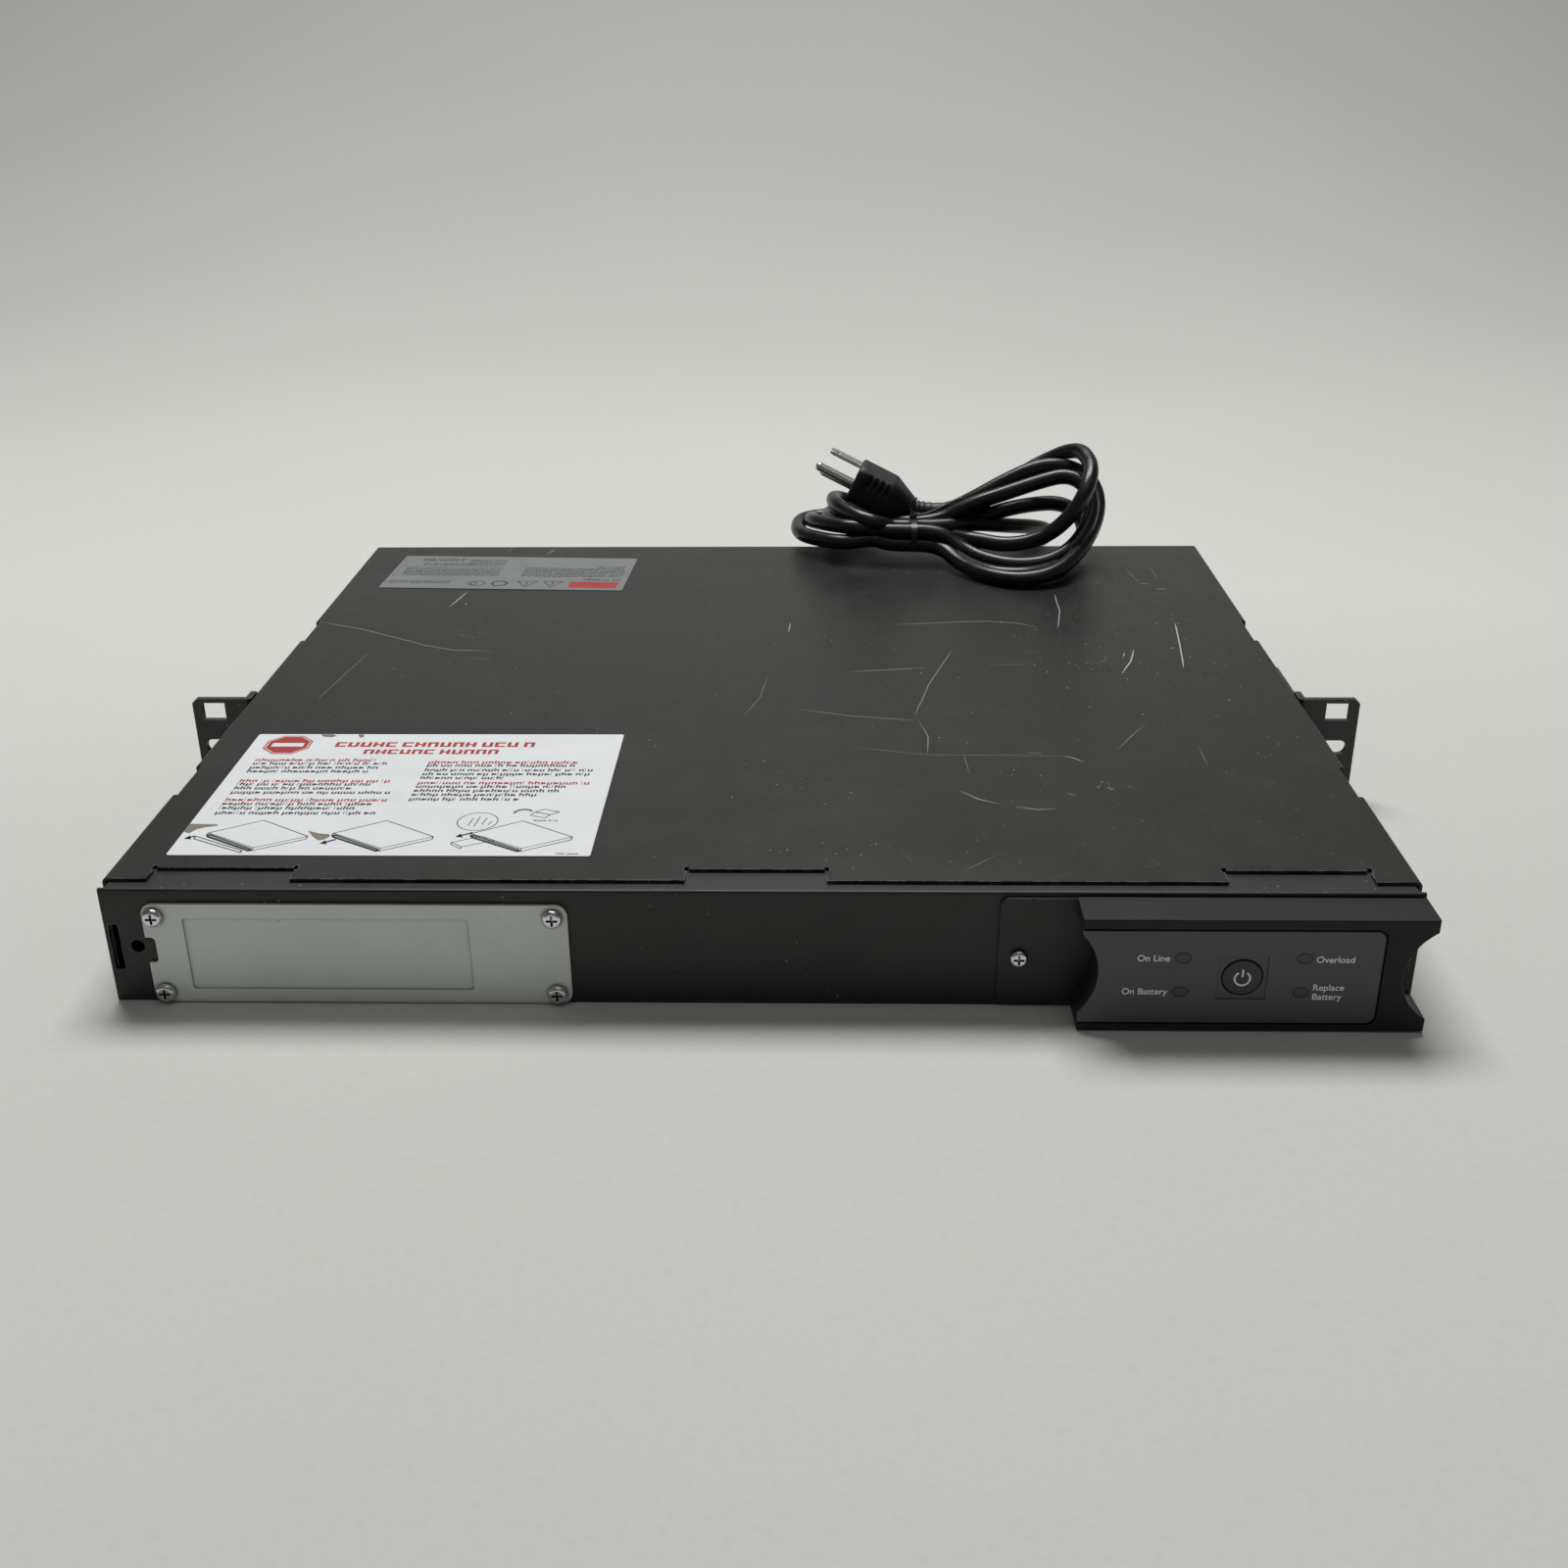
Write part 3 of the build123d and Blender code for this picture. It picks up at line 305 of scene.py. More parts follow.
# The CAD nodes that show as they are, by finish.
FINISHES = {
    cover_paint: ("top_cover",),
    panel_paint: ("base_tray", "front_panel", "rear_panel", "display_bracket"),
    ear_paint: ("rack_ear_left", "rack_ear_right"),
    zinc: ("battery_bay_wall", "board_standoffs", "serial_shell", "breaker_nut"),
    door_paint: ("battery_door",),
    screw_plate: ("door_screws", "bracket_screws", "board_screws", "fan_screws"),
    dark_screw: ("side_screws", "fan_guard"),
    housing_plastic: ("display_housing",),
    overlay_plastic: ("display_overlay",),
    button_plastic: ("power_button",),
    lens_plastic: ("indicator_lenses",),
    led_resin: ("indicator_leds",),
    board_mask: ("display_board", "main_board"),
    black_plastic: ("button_switch", "fan_frame", "fan_rotor", "outlet_1", "outlet_2", "outlet_3",
                    "outlet_4", "breaker_body", "serial_port", "network_jacks", "power_transistors"),
    cell_plastic: ("battery_cells",),
    tin: ("battery_terminals", "battery_contacts"),
    wrap_film: ("battery_wrap",),
    grey_plastic: ("battery_plug", "battery_socket", "display_ribbon"),
    red_sleeve: ("battery_leads",),
    white_plastic: ("breaker_button",),
    laminations: ("transformer_core",),
    copper: ("transformer_coils",),
    aluminium: ("heatsinks",),
    can_sleeve: ("capacitors",),
    relay_blue: ("relays",),
    cord_sheath: ("mains_leads",),
    plug_rubber: ("cord_gland",),
    nickel: ("plug_pins",),
    label_white: ("instruction_label",),
    label_grey: ("ratings_label",),
}
for material, names in FINISHES.items():
    for name in names:
        mesh = nodes[name].data
        mesh.materials.clear()
        mesh.materials.append(material)


# ---- Making pieces ------------------------------------------------------------------------
def piece(name, mesh, material, body="chassis"):
    """Object from a mesh in the row frame, which rides on a body."""
    made = bpy.data.objects.new(name, mesh)
    bpy.context.scene.collection.objects.link(made)
    mesh.materials.append(material)
    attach(made, body)
    return made


def finished_mesh(name, build):
    """Mesh from closed shells, with their faces turned outwards."""
    bmesh.ops.recalc_face_normals(build, faces=build.faces)
    mesh = bpy.data.meshes.new(name)
    build.to_mesh(mesh)
    build.free()
    return mesh


def join_rings(build, near, far):
    """Faces between two rings of as many vertices."""
    count = len(near)
    for i in range(count):
        j = (i + 1) % count
        build.faces.new((near[i], near[j], far[j], far[i]))


def plates(name, outlines, seat, thickness, material, body="chassis"):
    """Closed flat plates: outlines in millimetres (u, v), put in place by seat(u, v, w)."""
    build = bmesh.new()
    for outline in outlines:
        low = [build.verts.new(seat(u, v, 0.0)) for u, v in outline]
        high = [build.verts.new(seat(u, v, thickness)) for u, v in outline]
        build.faces.new(list(reversed(low)))
        build.faces.new(high)
        join_rings(build, low, high)
    return piece(name, finished_mesh(name, build), material, body)


def stroke(points, width, ends=0.25):
    """Outline round a line of points: full width in the middle, narrower at its ends."""
    left, right = [], []
    last = len(points) - 1
    for i, (x, y) in enumerate(points):
        before = points[max(i - 1, 0)]
        after = points[min(i + 1, last)]
        along = Vector((after[0] - before[0], after[1] - before[1])).normalized()
        half = width / 2 * (ends if i in (0, last) else 1.0)
        left.append((x - along.y * half, y + along.x * half))
        right.append((x + along.y * half, y - along.x * half))
    return left + right[::-1]


def wander(points, step, drift, rng):
    """The same line with more points, each a little off it."""
    out = [points[0]]
    for start, end in zip(points, points[1:]):
        run = Vector(end) - Vector(start)
        count = max(1, int(run.length / step))
        for i in range(1, count + 1):
            spot = Vector(start) + run * (i / count)
            out.append((spot.x + rng.uniform(-drift, drift), spot.y + rng.uniform(-drift, drift)))
    return out


def skin(build, rings):
    """Closed skin over rings of points, capped at both ends."""
    made = [[build.verts.new(point) for point in ring] for ring in rings]
    for near, far in zip(made, made[1:]):
        join_rings(build, near, far)
    build.faces.new(made[0][::-1])
    build.faces.new(made[-1])


# ---- Mains lead ---------------------------------------------------------------------------
# The lead leaves its strain relief at the rear, droops to the floor behind the case, comes
# round and up, and is folded into a tied hank on the rear of the cover.
CORD_DIAMETER = 0.0078
LEAD_ROUTE = (
    (36.0, 415.0, 22.0), (36.0, 432.0, 21.5), (39.0, 450.0, 18.0), (48.0, 468.0, 12.5),
    (65.0, 480.0, 8.0), (87.0, 483.0, 5.5), (109.0, 477.0, 7.5), (127.0, 463.0, 15.0),
    (140.0, 445.0, 25.5), (145.0, 425.0, 36.5), (141.5, 405.5, 45.5), (131.0, 390.0, 51.5),
    (116.0, 379.5, 55.0),
)
WAIST = Vector((67.0, 363.0, 57.0))     # the tie
WAIST_GAP = (8.1, 6.8)                  # between the columns and the rows of runs in the tie
WAIST_HALF = 13.0
# Folds on the left of the tie: tip, then half the fold's width. FOLD_SHAPE gives each side's
# points as shares of the run to the tip and of the half width.
FOLD_SHAPE = ((0.36, 0.60), (0.64, 1.0), (0.94, 0.72), (1.07, 0.38))
FOLDS = {
    "top": ((29, 384, 66.5), (1, -26, 3)),
    "middle": ((26.5, 387, 58), (0, -26, 3)),
    "low": ((18, 387, 56), (0, -27, 6)),
    "long": ((11.5, 385, 53), (0, 27, 0)),
}
# Turns on the right of the tie, as points from one pass through the tie to the next.
TURNS = {
    "tall": ((98, 374, 64), (116, 382, 77), (134, 386, 87), (151, 377, 97), (156, 360, 93),
             (153, 344, 86), (146, 340, 73), (133, 341, 60), (114, 344, 54.5), (95, 350, 57)),
    "inner": ((97, 364, 71), (112, 364, 76), (130, 365, 82), (145, 365, 86), (155, 358, 81),
              (156, 347, 70), (148, 338, 57), (134, 333, 49.5), (118, 333, 47.7), (102, 339, 49),
              (90, 347, 53)),
    "flat": ((96, 374, 58), (112, 376, 64), (130, 380, 66.5), (145, 382, 66.5), (155, 377, 61),
             (156, 364, 53), (148, 344, 49), (134, 325, 47.7), (118, 317, 47.7), (102, 322, 47.7),
             (90, 338, 48.3)),
    "outer": ((90, 334, 48), (103, 317, 47.7), (119, 309, 47.7), (137, 316, 50), (152, 340, 56),
              (162, 363, 66), (161, 376, 78), (149, 374, 87.5), (132, 373, 89), (113, 373, 80)),
}
# The lead's passes through the tie: column and row, the fold on the left that it goes into, then
# column and row on the way back and the turn on the right.
PASSES = (
    ((-0.5, 0.5), "top", (1.5, 0.5), "tall"),
    ((0.5, -0.5), "middle", (0.5, 0.5), "inner"),
    ((-1.5, 0.5), "low", (1.5, -0.5), "flat"),
    ((-0.5, -0.5), "long", (-1.5, -0.5), "outer"),
)
TO_TIE = (98, 367, 60)                  # the lead's last points on the way to the first pass
TO_PLUG = (99, 372, 72)                 # and from the last pass to the plug's boot
INTO_BOOT = 8                           # how far the lead goes into the boot
PLUG_NOSE = Vector((37.0, 380.0, 79.6))
PLUG_ALONG = Vector((-0.89, 0.12, 0.43)).normalized()
EARTH_SIDE = Vector((0.17, 0.98, 0.08))  # roughly the way from the blades to the earth pin
PLUG_UP = (EARTH_SIDE - PLUG_ALONG * EARTH_SIDE.dot(PLUG_ALONG)).normalized()
PLUG_NECK = 33.0                        # the bent boot starts this far behind the nose
BOOT_LENGTH = 17.0
BOOT_BEND = 4.0                         # from the boot's foot to its knee
BOOT_FOOT = PLUG_NOSE - PLUG_ALONG * PLUG_NECK
BOOT_KNEE = BOOT_FOOT - PLUG_ALONG * BOOT_BEND
BOOT_ALONG = Vector((0.99, -0.12, 0.05)).normalized()
BOOT_TIP = BOOT_KNEE + BOOT_ALONG * (BOOT_LENGTH - BOOT_BEND)


def through_tie(slot, first, last):
    """Two points of a straight pass through the tie. slot is its column and its row."""
    middle = WAIST + Vector((0, slot[0] * WAIST_GAP[0], slot[1] * WAIST_GAP[1]))
    return [middle + Vector((side * WAIST_HALF, 0, 0)) for side in (first, last)]


def fold(name):
    """Points of one fold, from the tie round its tip and back."""
    tip, width = FOLDS[name]
    run = Vector(tip) - WAIST
    out = [WAIST + run * share + Vector(width) * across for share, across in FOLD_SHAPE]
    back = [WAIST + run * share - Vector(width) * across for share, across in FOLD_SHAPE]
    return out + back[::-1]


def lead_points():
    """Control points of the whole lead, from the strain relief into the plug's boot."""
    points = [Vector(p) for p in (*LEAD_ROUTE, TO_TIE)]
    for slot_in, left, slot_out, right in PASSES:
        points += through_tie(slot_in, 1, -1)
        points += fold(left)
        points += through_tie(slot_out, -1, 1)
        points += [Vector(p) for p in TURNS[right]]
    points += [Vector(TO_PLUG), BOOT_TIP + BOOT_ALONG * 2, BOOT_TIP - BOOT_ALONG * INTO_BOOT]
    return [at(*point) for point in points]


def curve_piece(name, points, diameter, material):
    """Round cord along one smooth open spline."""
    curve = bpy.data.curves.new(name, "CURVE")
    curve.dimensions = "3D"
    curve.bevel_depth = diameter / 2
    curve.bevel_resolution = 6
    curve.resolution_u = 10
    curve.use_fill_caps = True
    spline = curve.splines.new("NURBS")
    spline.points.add(len(points) - 1)
    for control, place in zip(spline.points, points):
        control.co = (*place, 1.0)
    spline.order_u = 3
    spline.use_endpoint_u = True
    curve.materials.append(material)
    made = bpy.data.objects.new(name, curve)
    bpy.context.scene.collection.objects.link(made)
    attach(made, "chassis")
    return made


lead = curve_piece("mains_lead", lead_points(), CORD_DIAMETER, cord_sheath)
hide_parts("power_cord", "cord_hank")

# Moulded plug: sections of its nose, tapered neck and tip, as the distance behind its nose and
# half its size along PLUG_UP and across. Grip grooves and the boot's notches lie between them.
NOSE_SECTIONS = ((0.0, 9.1, 9.6), (0.5, 9.7, 10.2), (1.2, 10.0, 10.5), (3.6, 10.0, 10.5))
GRIP_HALF = (10.0, 10.5)
GRIP_PLACES = (6.8, 10.2, 13.6, 17.0)
GRIP_DEPTH = 1.3
GRIP_LENGTH = 1.7
GRIP_WALL = 0.2
NECK_SECTIONS = (
    (19.8, 9.9, 10.4), (21.0, 9.6, 10.0), (27.5, 7.4, 7.6), (32.0, 5.9, 6.0), (33.6, 5.3, 5.3),
)
NOTCH_PLACES = (36.0, 39.2, 42.4, 45.6)
NOTCH_HALF = 4.4
NOTCH_FLOOR = (0.3, 1.0)                # where a notch's floor starts and ends, behind its rim
NOTCH_LENGTH = 1.3
NOTCH_RIM = 5.2
REAR_RIM_DROP = 0.1                     # a notch's rear rim is this much thinner
NOTCH_TAPER = 0.2                       # by which each rim is thinner than the last
TIP_SECTIONS = ((49.4, 4.5, 4.5), (50.0, 4.2, 4.2))
PLUG_SQUARENESS = 5.0                   # falls from the neck to that of a circle at the boot
SQUARENESS_FALL = 0.2
SQUARE_UP_TO = 19.0
RING_POINTS = 72
GROOVE_PLACE = 0.55                     # of the grip grooves across their faces, and their half
GROOVE_HALF = 0.30                      # width, as shares of the half face
GROOVE_SLOPE = 0.08                     # share of the half face in which a groove reaches its depth


def rounded_ring(middle, up, side, half_up, half_side, squareness, groove=0.0):
    """Ring of points: a circle at squareness 2, nearly a rectangle at 6, with two grip grooves."""
    ring = []
    for i in range(RING_POINTS):
        angle = 2 * math.pi * i / RING_POINTS
        c, s = math.cos(angle), math.sin(angle)
        reach = (abs(c) ** squareness + abs(s) ** squareness) ** (-1 / squareness)
        off_groove = abs(s * reach - math.copysign(GROOVE_PLACE, c))
        share = min(1.0, max(0.0, (GROOVE_HALF - off_groove) / GROOVE_SLOPE))
        sunk = 1 - groove * share / half_up
        place = up * (half_up * reach * c * sunk) + side * (half_side * reach * s * sunk)
        ring.append(at(*(middle + place)))
    return ring


def along_plug(back):
    """Middle of the plug at a distance behind its nose, and the direction it runs in there."""
    if back <= PLUG_NECK:
        return PLUG_NOSE - PLUG_ALONG * back, -PLUG_ALONG
    share = (back - PLUG_NECK) / BOOT_LENGTH
    first = BOOT_FOOT.lerp(BOOT_KNEE, share)
    second = BOOT_KNEE.lerp(BOOT_TIP, share)
    return first.lerp(second, share), (second - first).normalized()


def plug_sections():
    """Distance behind the nose, half sizes and groove depth of every section of the plug."""
    sections = [(*section, 0) for section in NOSE_SECTIONS]
    for start in GRIP_PLACES:
        for step, depth in ((0, 0), (GRIP_WALL, GRIP_DEPTH), (GRIP_LENGTH - GRIP_WALL, GRIP_DEPTH),
                            (GRIP_LENGTH, 0)):
            sections.append((start + step, *GRIP_HALF, depth))
    sections += [(*section, 0) for section in NECK_SECTIONS]
    for number, start in enumerate(NOTCH_PLACES):
        rim = NOTCH_RIM - NOTCH_TAPER * number
        floor = [(step, NOTCH_HALF) for step in NOTCH_FLOOR]
        for step, half in ((0, rim), *floor, (NOTCH_LENGTH, rim - REAR_RIM_DROP)):
            sections.append((start + step, half, half, 0))
    return sections + [(*section, 0) for section in TIP_SECTIONS]


def make_plug():
    """Moulded plug with a bent, notched boot."""
    build = bmesh.new()
    rings = []
    for back, half_up, half_side, groove in plug_sections():
        squareness = max(2.0, PLUG_SQUARENESS - max(0.0, back - SQUARE_UP_TO) * SQUARENESS_FALL)
        middle, run = along_plug(back)
        up = (PLUG_UP - run * PLUG_UP.dot(run)).normalized()
        rings.append(rounded_ring(middle, up, up.cross(run), half_up, half_side, squareness, groove))
    skin(build, rings)
    mesh = finished_mesh("plug_body", build)
    for polygon in mesh.polygons:
        polygon.use_smooth = len(polygon.vertices) == 4
    plug = piece("plug_body", mesh, plug_rubber)
    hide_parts("cord_plug")
    return plug


TIE_HALF = (16.3, 7.6)
TIE_SQUARENESS = 3.4
TIE_WIDTH = 2.8
TIE_THICK = 0.8
TIE_TOP = WAIST.z + TIE_HALF[1] + TIE_THICK
# The tie's two loose ends and the twist between them: width, thickness and points, with the
# heights above the top of the band.
TIE_ENDS = (
    (2.0, 0.8, ((66.2, 358, -0.2), (68.5, 357.4, 1.4), (72.5, 357, 2.2), (78, 356.5, 4.4),
                (84, 357, 7.4), (89.5, 358, 9.8), (91.5, 358.5, 10.0))),
    (2.0, 0.8, ((67.6, 360.5, -0.2), (67.0, 360, 1.8), (65.0, 360.5, 4.2), (65.8, 361, 7.6),
                (68.8, 361.5, 9.4))),
    (1.8, 1.4, ((65.6, 356.6, 0.6), (68.2, 359.6, 1.5), (70.2, 361.4, 1.0))),
)
STRIP_CORNERS = ((-0.5, -0.5), (0.5, -0.5), (0.5, 0.5), (-0.5, 0.5))


def strip(build, points, width, thick):
    """Flat closed strip along some points, widest along y."""
    rings = []
    for i, point in enumerate(points):
        along = (points[min(i + 1, len(points) - 1)] - points[max(i - 1, 0)]).normalized()
        across = Vector((0, 1, 0)).cross(along).normalized().cross(along)
        up = across.cross(along)
        rings.append([at(*(point + across * (a * width) + up * (b * thick))) for a, b in STRIP_CORNERS])
    skin(build, rings)


def make_tie():
    """Plastic-covered wire tie round the waist of the hank: a closed band and two twisted ends."""
    build = bmesh.new()
    across, upward = Vector((0, 1, 0)), Vector((0, 0, 1))
    rings = []
    for grow, x in ((0, -1), (0, 1), (TIE_THICK, 1), (TIE_THICK, -1)):
        middle = WAIST + Vector((x * TIE_WIDTH / 2, 0, 0))
        points = rounded_ring(middle, across, upward, TIE_HALF[0] + grow, TIE_HALF[1] + grow,
                              TIE_SQUARENESS)
        rings.append([build.verts.new(point) for point in points])
    for near, far in zip(rings, rings[1:] + rings[:1]):
        join_rings(build, near, far)
    for width, thick, points in TIE_ENDS:
        strip(build, [Vector((x, y, TIE_TOP + height)) for x, y, height in points], width, thick)
    tie = piece("wire_tie", finished_mesh("wire_tie", build), tie_nylon)
    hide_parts("cord_tie")
    return tie


plug_body = make_plug()
wire_tie = make_tie()


# ---- Printing on the labels ----------------------------------------------------------------
INK = 0.03                              # thickness of a layer of print
LABEL_THICK = 0.2
# Made-up letters as boxes: left, right, low and high, as shares of a letter's width and height.
TYPE_SHAPES = (
    ((0.0, 0.30, 0.0, 1.0), (0.62, 0.92, 0.0, 0.72), (0.30, 0.62, 0.46, 0.68)),
    ((0.0, 0.30, 0.0, 0.72), (0.62, 0.92, 0.0, 0.72), (0.30, 0.62, 0.50, 0.72)),
    ((0.0, 0.30, 0.0, 0.72), (0.62, 0.92, 0.0, 0.72), (0.30, 0.62, 0.0, 0.22)),
    ((0.0, 0.30, 0.0, 1.0),),
    ((0.0, 0.34, 0.0, 0.72), (0.34, 0.90, 0.12, 0.60)),
    ((0.0, 0.30, -0.28, 0.72), (0.30, 0.62, 0.0, 0.20), (0.62, 0.92, 0.0, 0.72)),
)
HEADING_SHAPES = (
    ((0.0, 0.30, 0.0, 1.0), (0.62, 0.92, 0.0, 1.0), (0.30, 0.62, 0.74, 1.0)),
    ((0.0, 0.30, 0.0, 1.0), (0.62, 0.92, 0.0, 1.0), (0.30, 0.62, 0.0, 0.26)),
    ((0.0, 0.30, 0.0, 1.0), (0.30, 0.92, 0.74, 1.0), (0.30, 0.92, 0.0, 0.26)),
    ((0.0, 0.30, 0.0, 1.0), (0.62, 0.92, 0.0, 1.0), (0.30, 0.62, 0.38, 0.62)),
)
WORD_LENGTHS = (2, 3, 4, 5, 6, 8)
TYPE_GROWTH = 1.18                      # all of the figures below are shares of a line's height
TYPE_WIDTH = 0.72
NARROW_LETTER = 0.4
LETTER_GAP = 0.10
WORD_GAP = 0.34


def box_outline(left, right, low, high):
    return [(left, low), (right, low), (right, high), (left, high)]


def dummy_line(left, right, base, height, rng, width=TYPE_WIDTH, shapes=TYPE_SHAPES):
    """Row of made-up letter shapes in words, in the place of a line of writing."""
    out = []
    u = left
    height *= TYPE_GROWTH
    while u < right - height * 0.5:
        for _ in range(rng.choice(WORD_LENGTHS)):
            shape = rng.choice(shapes)
            span = height * width * (NARROW_LETTER if len(shape) == 1 else 1.0)
            if u + span > right:
                break
            for a, b, c, d in shape:
                out.append(box_outline(u + a * span, u + b * span, base + c * height, base + d * height))
            u += span + height * LETTER_GAP
        u += height * WORD_GAP
    return out


def polygon(centre, radius, sides, turn=0.0):
    angles = [turn + 2 * math.pi * i / sides for i in range(sides)]
    return [(centre[0] + radius * math.cos(a), centre[1] + radius * math.sin(a)) for a in angles]


def closed_line(points, width):
    """Line drawing of a closed figure: one stroke for each side."""
    return [stroke([a, b], width, 1.0) for a, b in zip(points, points[1:] + points[:1])]


def ring(centre, radius, width, sides=28):
    return closed_line(polygon(centre, radius, sides), width)


def on_cover(lift):
    """Seat for plates that lie on the cover, some millimetres above its top."""
    return lambda u, v, w: at(u, v, CASE_TOP + lift + w)


# Instruction label. Lines of writing are given as right end and base.
SIGN = (-186.6, 115.8)
SIGN_RADIUS = 9.6
SIGN_LINE = 8.7                         # radius of the white line inside the octagon
SIGN_TURN = math.pi / 8                 # sets the octagon on a side
SIGN_BAR = (-192.8, -180.4, 114.1, 117.5)
HEADINGS = ((-167.9, -89.2, 114.0, 3.8), (-155.2, -102.1, 107.1, 3.6))
LEFT_COLUMN = -194.8
RIGHT_COLUMN = -127.9
RED_HEIGHT = 2.4
BLACK_HEIGHT = 2.3
RED_LEFT_LINES = ((-146.3, 100.1), (-137.1, 81.1), (-135.6, 64.6))
RED_RIGHT_LINES = ((-68.4, 98.1), (-63.4, 79.5))
BLACK_LEFT_LINES = (
    (-142.5, 96.9), (-144.2, 93.2), (-147.7, 89.7), (-143.8, 78.2), (-150.4, 74.7),
    (-134.6, 71.0), (-139.4, 61.3), (-144.8, 57.8), (-136.7, 53.8),
)
BLACK_RIGHT_LINES = (
    (-70.9, 95.3), (-64.4, 91.1), (-63.4, 87.5), (-94.6, 84.0), (-72.4, 76.3), (-73.0, 72.8),
    (-80.5, 69.3), (-86.3, 65.5),
)
SMALL_PRINT = ((-79.8, -71.0, 48.6, 1.2), (-68.6, -60.0, 23.2, 1.0))
# Widths of the lines that the pictures are drawn with.
SLAB_LINE = 0.42
INNER_LINE = 0.36
FINE_LINE = 0.35
BAY_LINE = 0.9
ARROW_LINE = 1.0
SIGN_WIDTH = 0.4
# One line picture of the case, from its own left end: outline, inner corner and open bay.
PICTURES = (-192.0, -148.2, -100.0)
SLAB = ((0, 38.8), (16.4, 48.9), (35.5, 36.4), (35.5, 34.2), (19.3, 25.2), (0, 36.8))
SLAB_CORNER = (19.3, 27.5)
BAY = ((0.6, 37.6), (18.6, 26.6), (18.6, 25.0), (0.6, 35.9))
ARROWS = (((-198.6, 34.4), (-195.8, 36.4)), ((-150.4, 31.0), (-146.0, 34.0)),
          ((-104.6, 36.4), (-99.6, 39.6)))
ARROW_HEAD = ((-0.4, -0.2), (2.3, -0.7), (0.9, 2.4))
# Closed figures of the pictures, each with the width of its line: the drawer in the first, the
# battery in the last and the connector above it.
DRAWER = (0.5, [(-195.5, 36.2), (-176.0, 25.4), (-176.0, 23.8), (-195.5, 34.2)])
BATTERY_FIGURES = (
    (FINE_LINE, [(-105.5, 32.0), (-96.0, 36.8), (-91.0, 33.6), (-101.5, 28.6)]),
    (FINE_LINE, [(-105.5, 32.0), (-101.5, 28.6), (-101.5, 27.2), (-105.5, 30.4)]),
)
CONNECTOR_FIGURES = (
    (0.45, [(-80.5, 56.0), (-74.8, 54.0), (-71.8, 56.2), (-77.5, 58.4)]),
    (FINE_LINE, [(-74.8, 54.0), (-76.2, 51.4), (-81.8, 53.4), (-80.5, 56.0)]),
)
CONNECTOR_LEAD = ((-84.4, 54.6), 3.6, (3.1, 2.6, 2.1, 1.6, 1.1, 0.6))
CLOSE_UP = ((-99.6, 48.3), 7.1)
CLOSE_UP_LEAN = 0.9
CLOSE_UP_LINE = 0.8
CLOSE_UP_STROKES = ((-102.4, 45.0, 6.0), (-100.2, 44.4, 8.0), (-97.6, 46.0, 5.5), (-95.4, 45.6, 3.2))
TEARS = (
    ((-200.9, 45.9), (-191.2, 45.6), (-190.5, 44.6), (-194.5, 43.2), (-197.0, 41.8),
     (-198.6, 38.6), (-200.9, 39.6)),
    ((-157.5, 40.6), (-152.6, 38.4), (-149.4, 38.0), (-148.6, 36.4), (-150.4, 33.6),
     (-152.2, 33.4), (-155.0, 36.6)),
    ((-176.5, 126.2), (-171.6, 126.3), (-169.8, 124.8), (-171.4, 123.4), (-174.8, 123.8)),
    ((-161.6, 126.2), (-159.4, 126.2), (-158.8, 123.9), (-160.2, 122.6)),
)


def column(left, lines, height, rng):
    """Dummy lines that start at the same place."""
    out = []
    for right, base in lines:
        out += dummy_line(left, right, base, height, rng)
    return out


def line_pictures():
    """Three slabs with an open bay, arrows, a drawer, a battery, a connector and a close-up."""
    out = []
    for shift in PICTURES:
        slab = [(shift + u, v) for u, v in SLAB]
        corner = (shift + SLAB_CORNER[0], SLAB_CORNER[1])
        out += closed_line(slab, SLAB_LINE)
        out.append(stroke([slab[0], corner, slab[2]], INNER_LINE, 1.0))
        out.append(stroke([slab[4], corner], INNER_LINE, 1.0))
        out += closed_line([(shift + u, v) for u, v in BAY], BAY_LINE)
    width, figure = DRAWER
    out += closed_line(figure, width)
    for tip, tail in ARROWS:
        out.append(stroke([tip, tail], ARROW_LINE, 1.0))
        out.append([(tip[0] + u, tip[1] + v) for u, v in ARROW_HEAD])
    for width, figure in BATTERY_FIGURES:
        out += closed_line(figure, width)
    out += ring(*CLOSE_UP, FINE_LINE)
    for u, v, length in CLOSE_UP_STROKES:
        out.append(stroke([(u, v), (u + CLOSE_UP_LEAN, v + length)], CLOSE_UP_LINE, 0.4))
    for width, figure in CONNECTOR_FIGURES:
        out += closed_line(figure, width)
    (u, v), radius, angles = CONNECTOR_LEAD
    out.append(stroke([(u + radius * math.cos(a), v + radius * math.sin(a)) for a in angles], 1.0, 0.5))
    return out


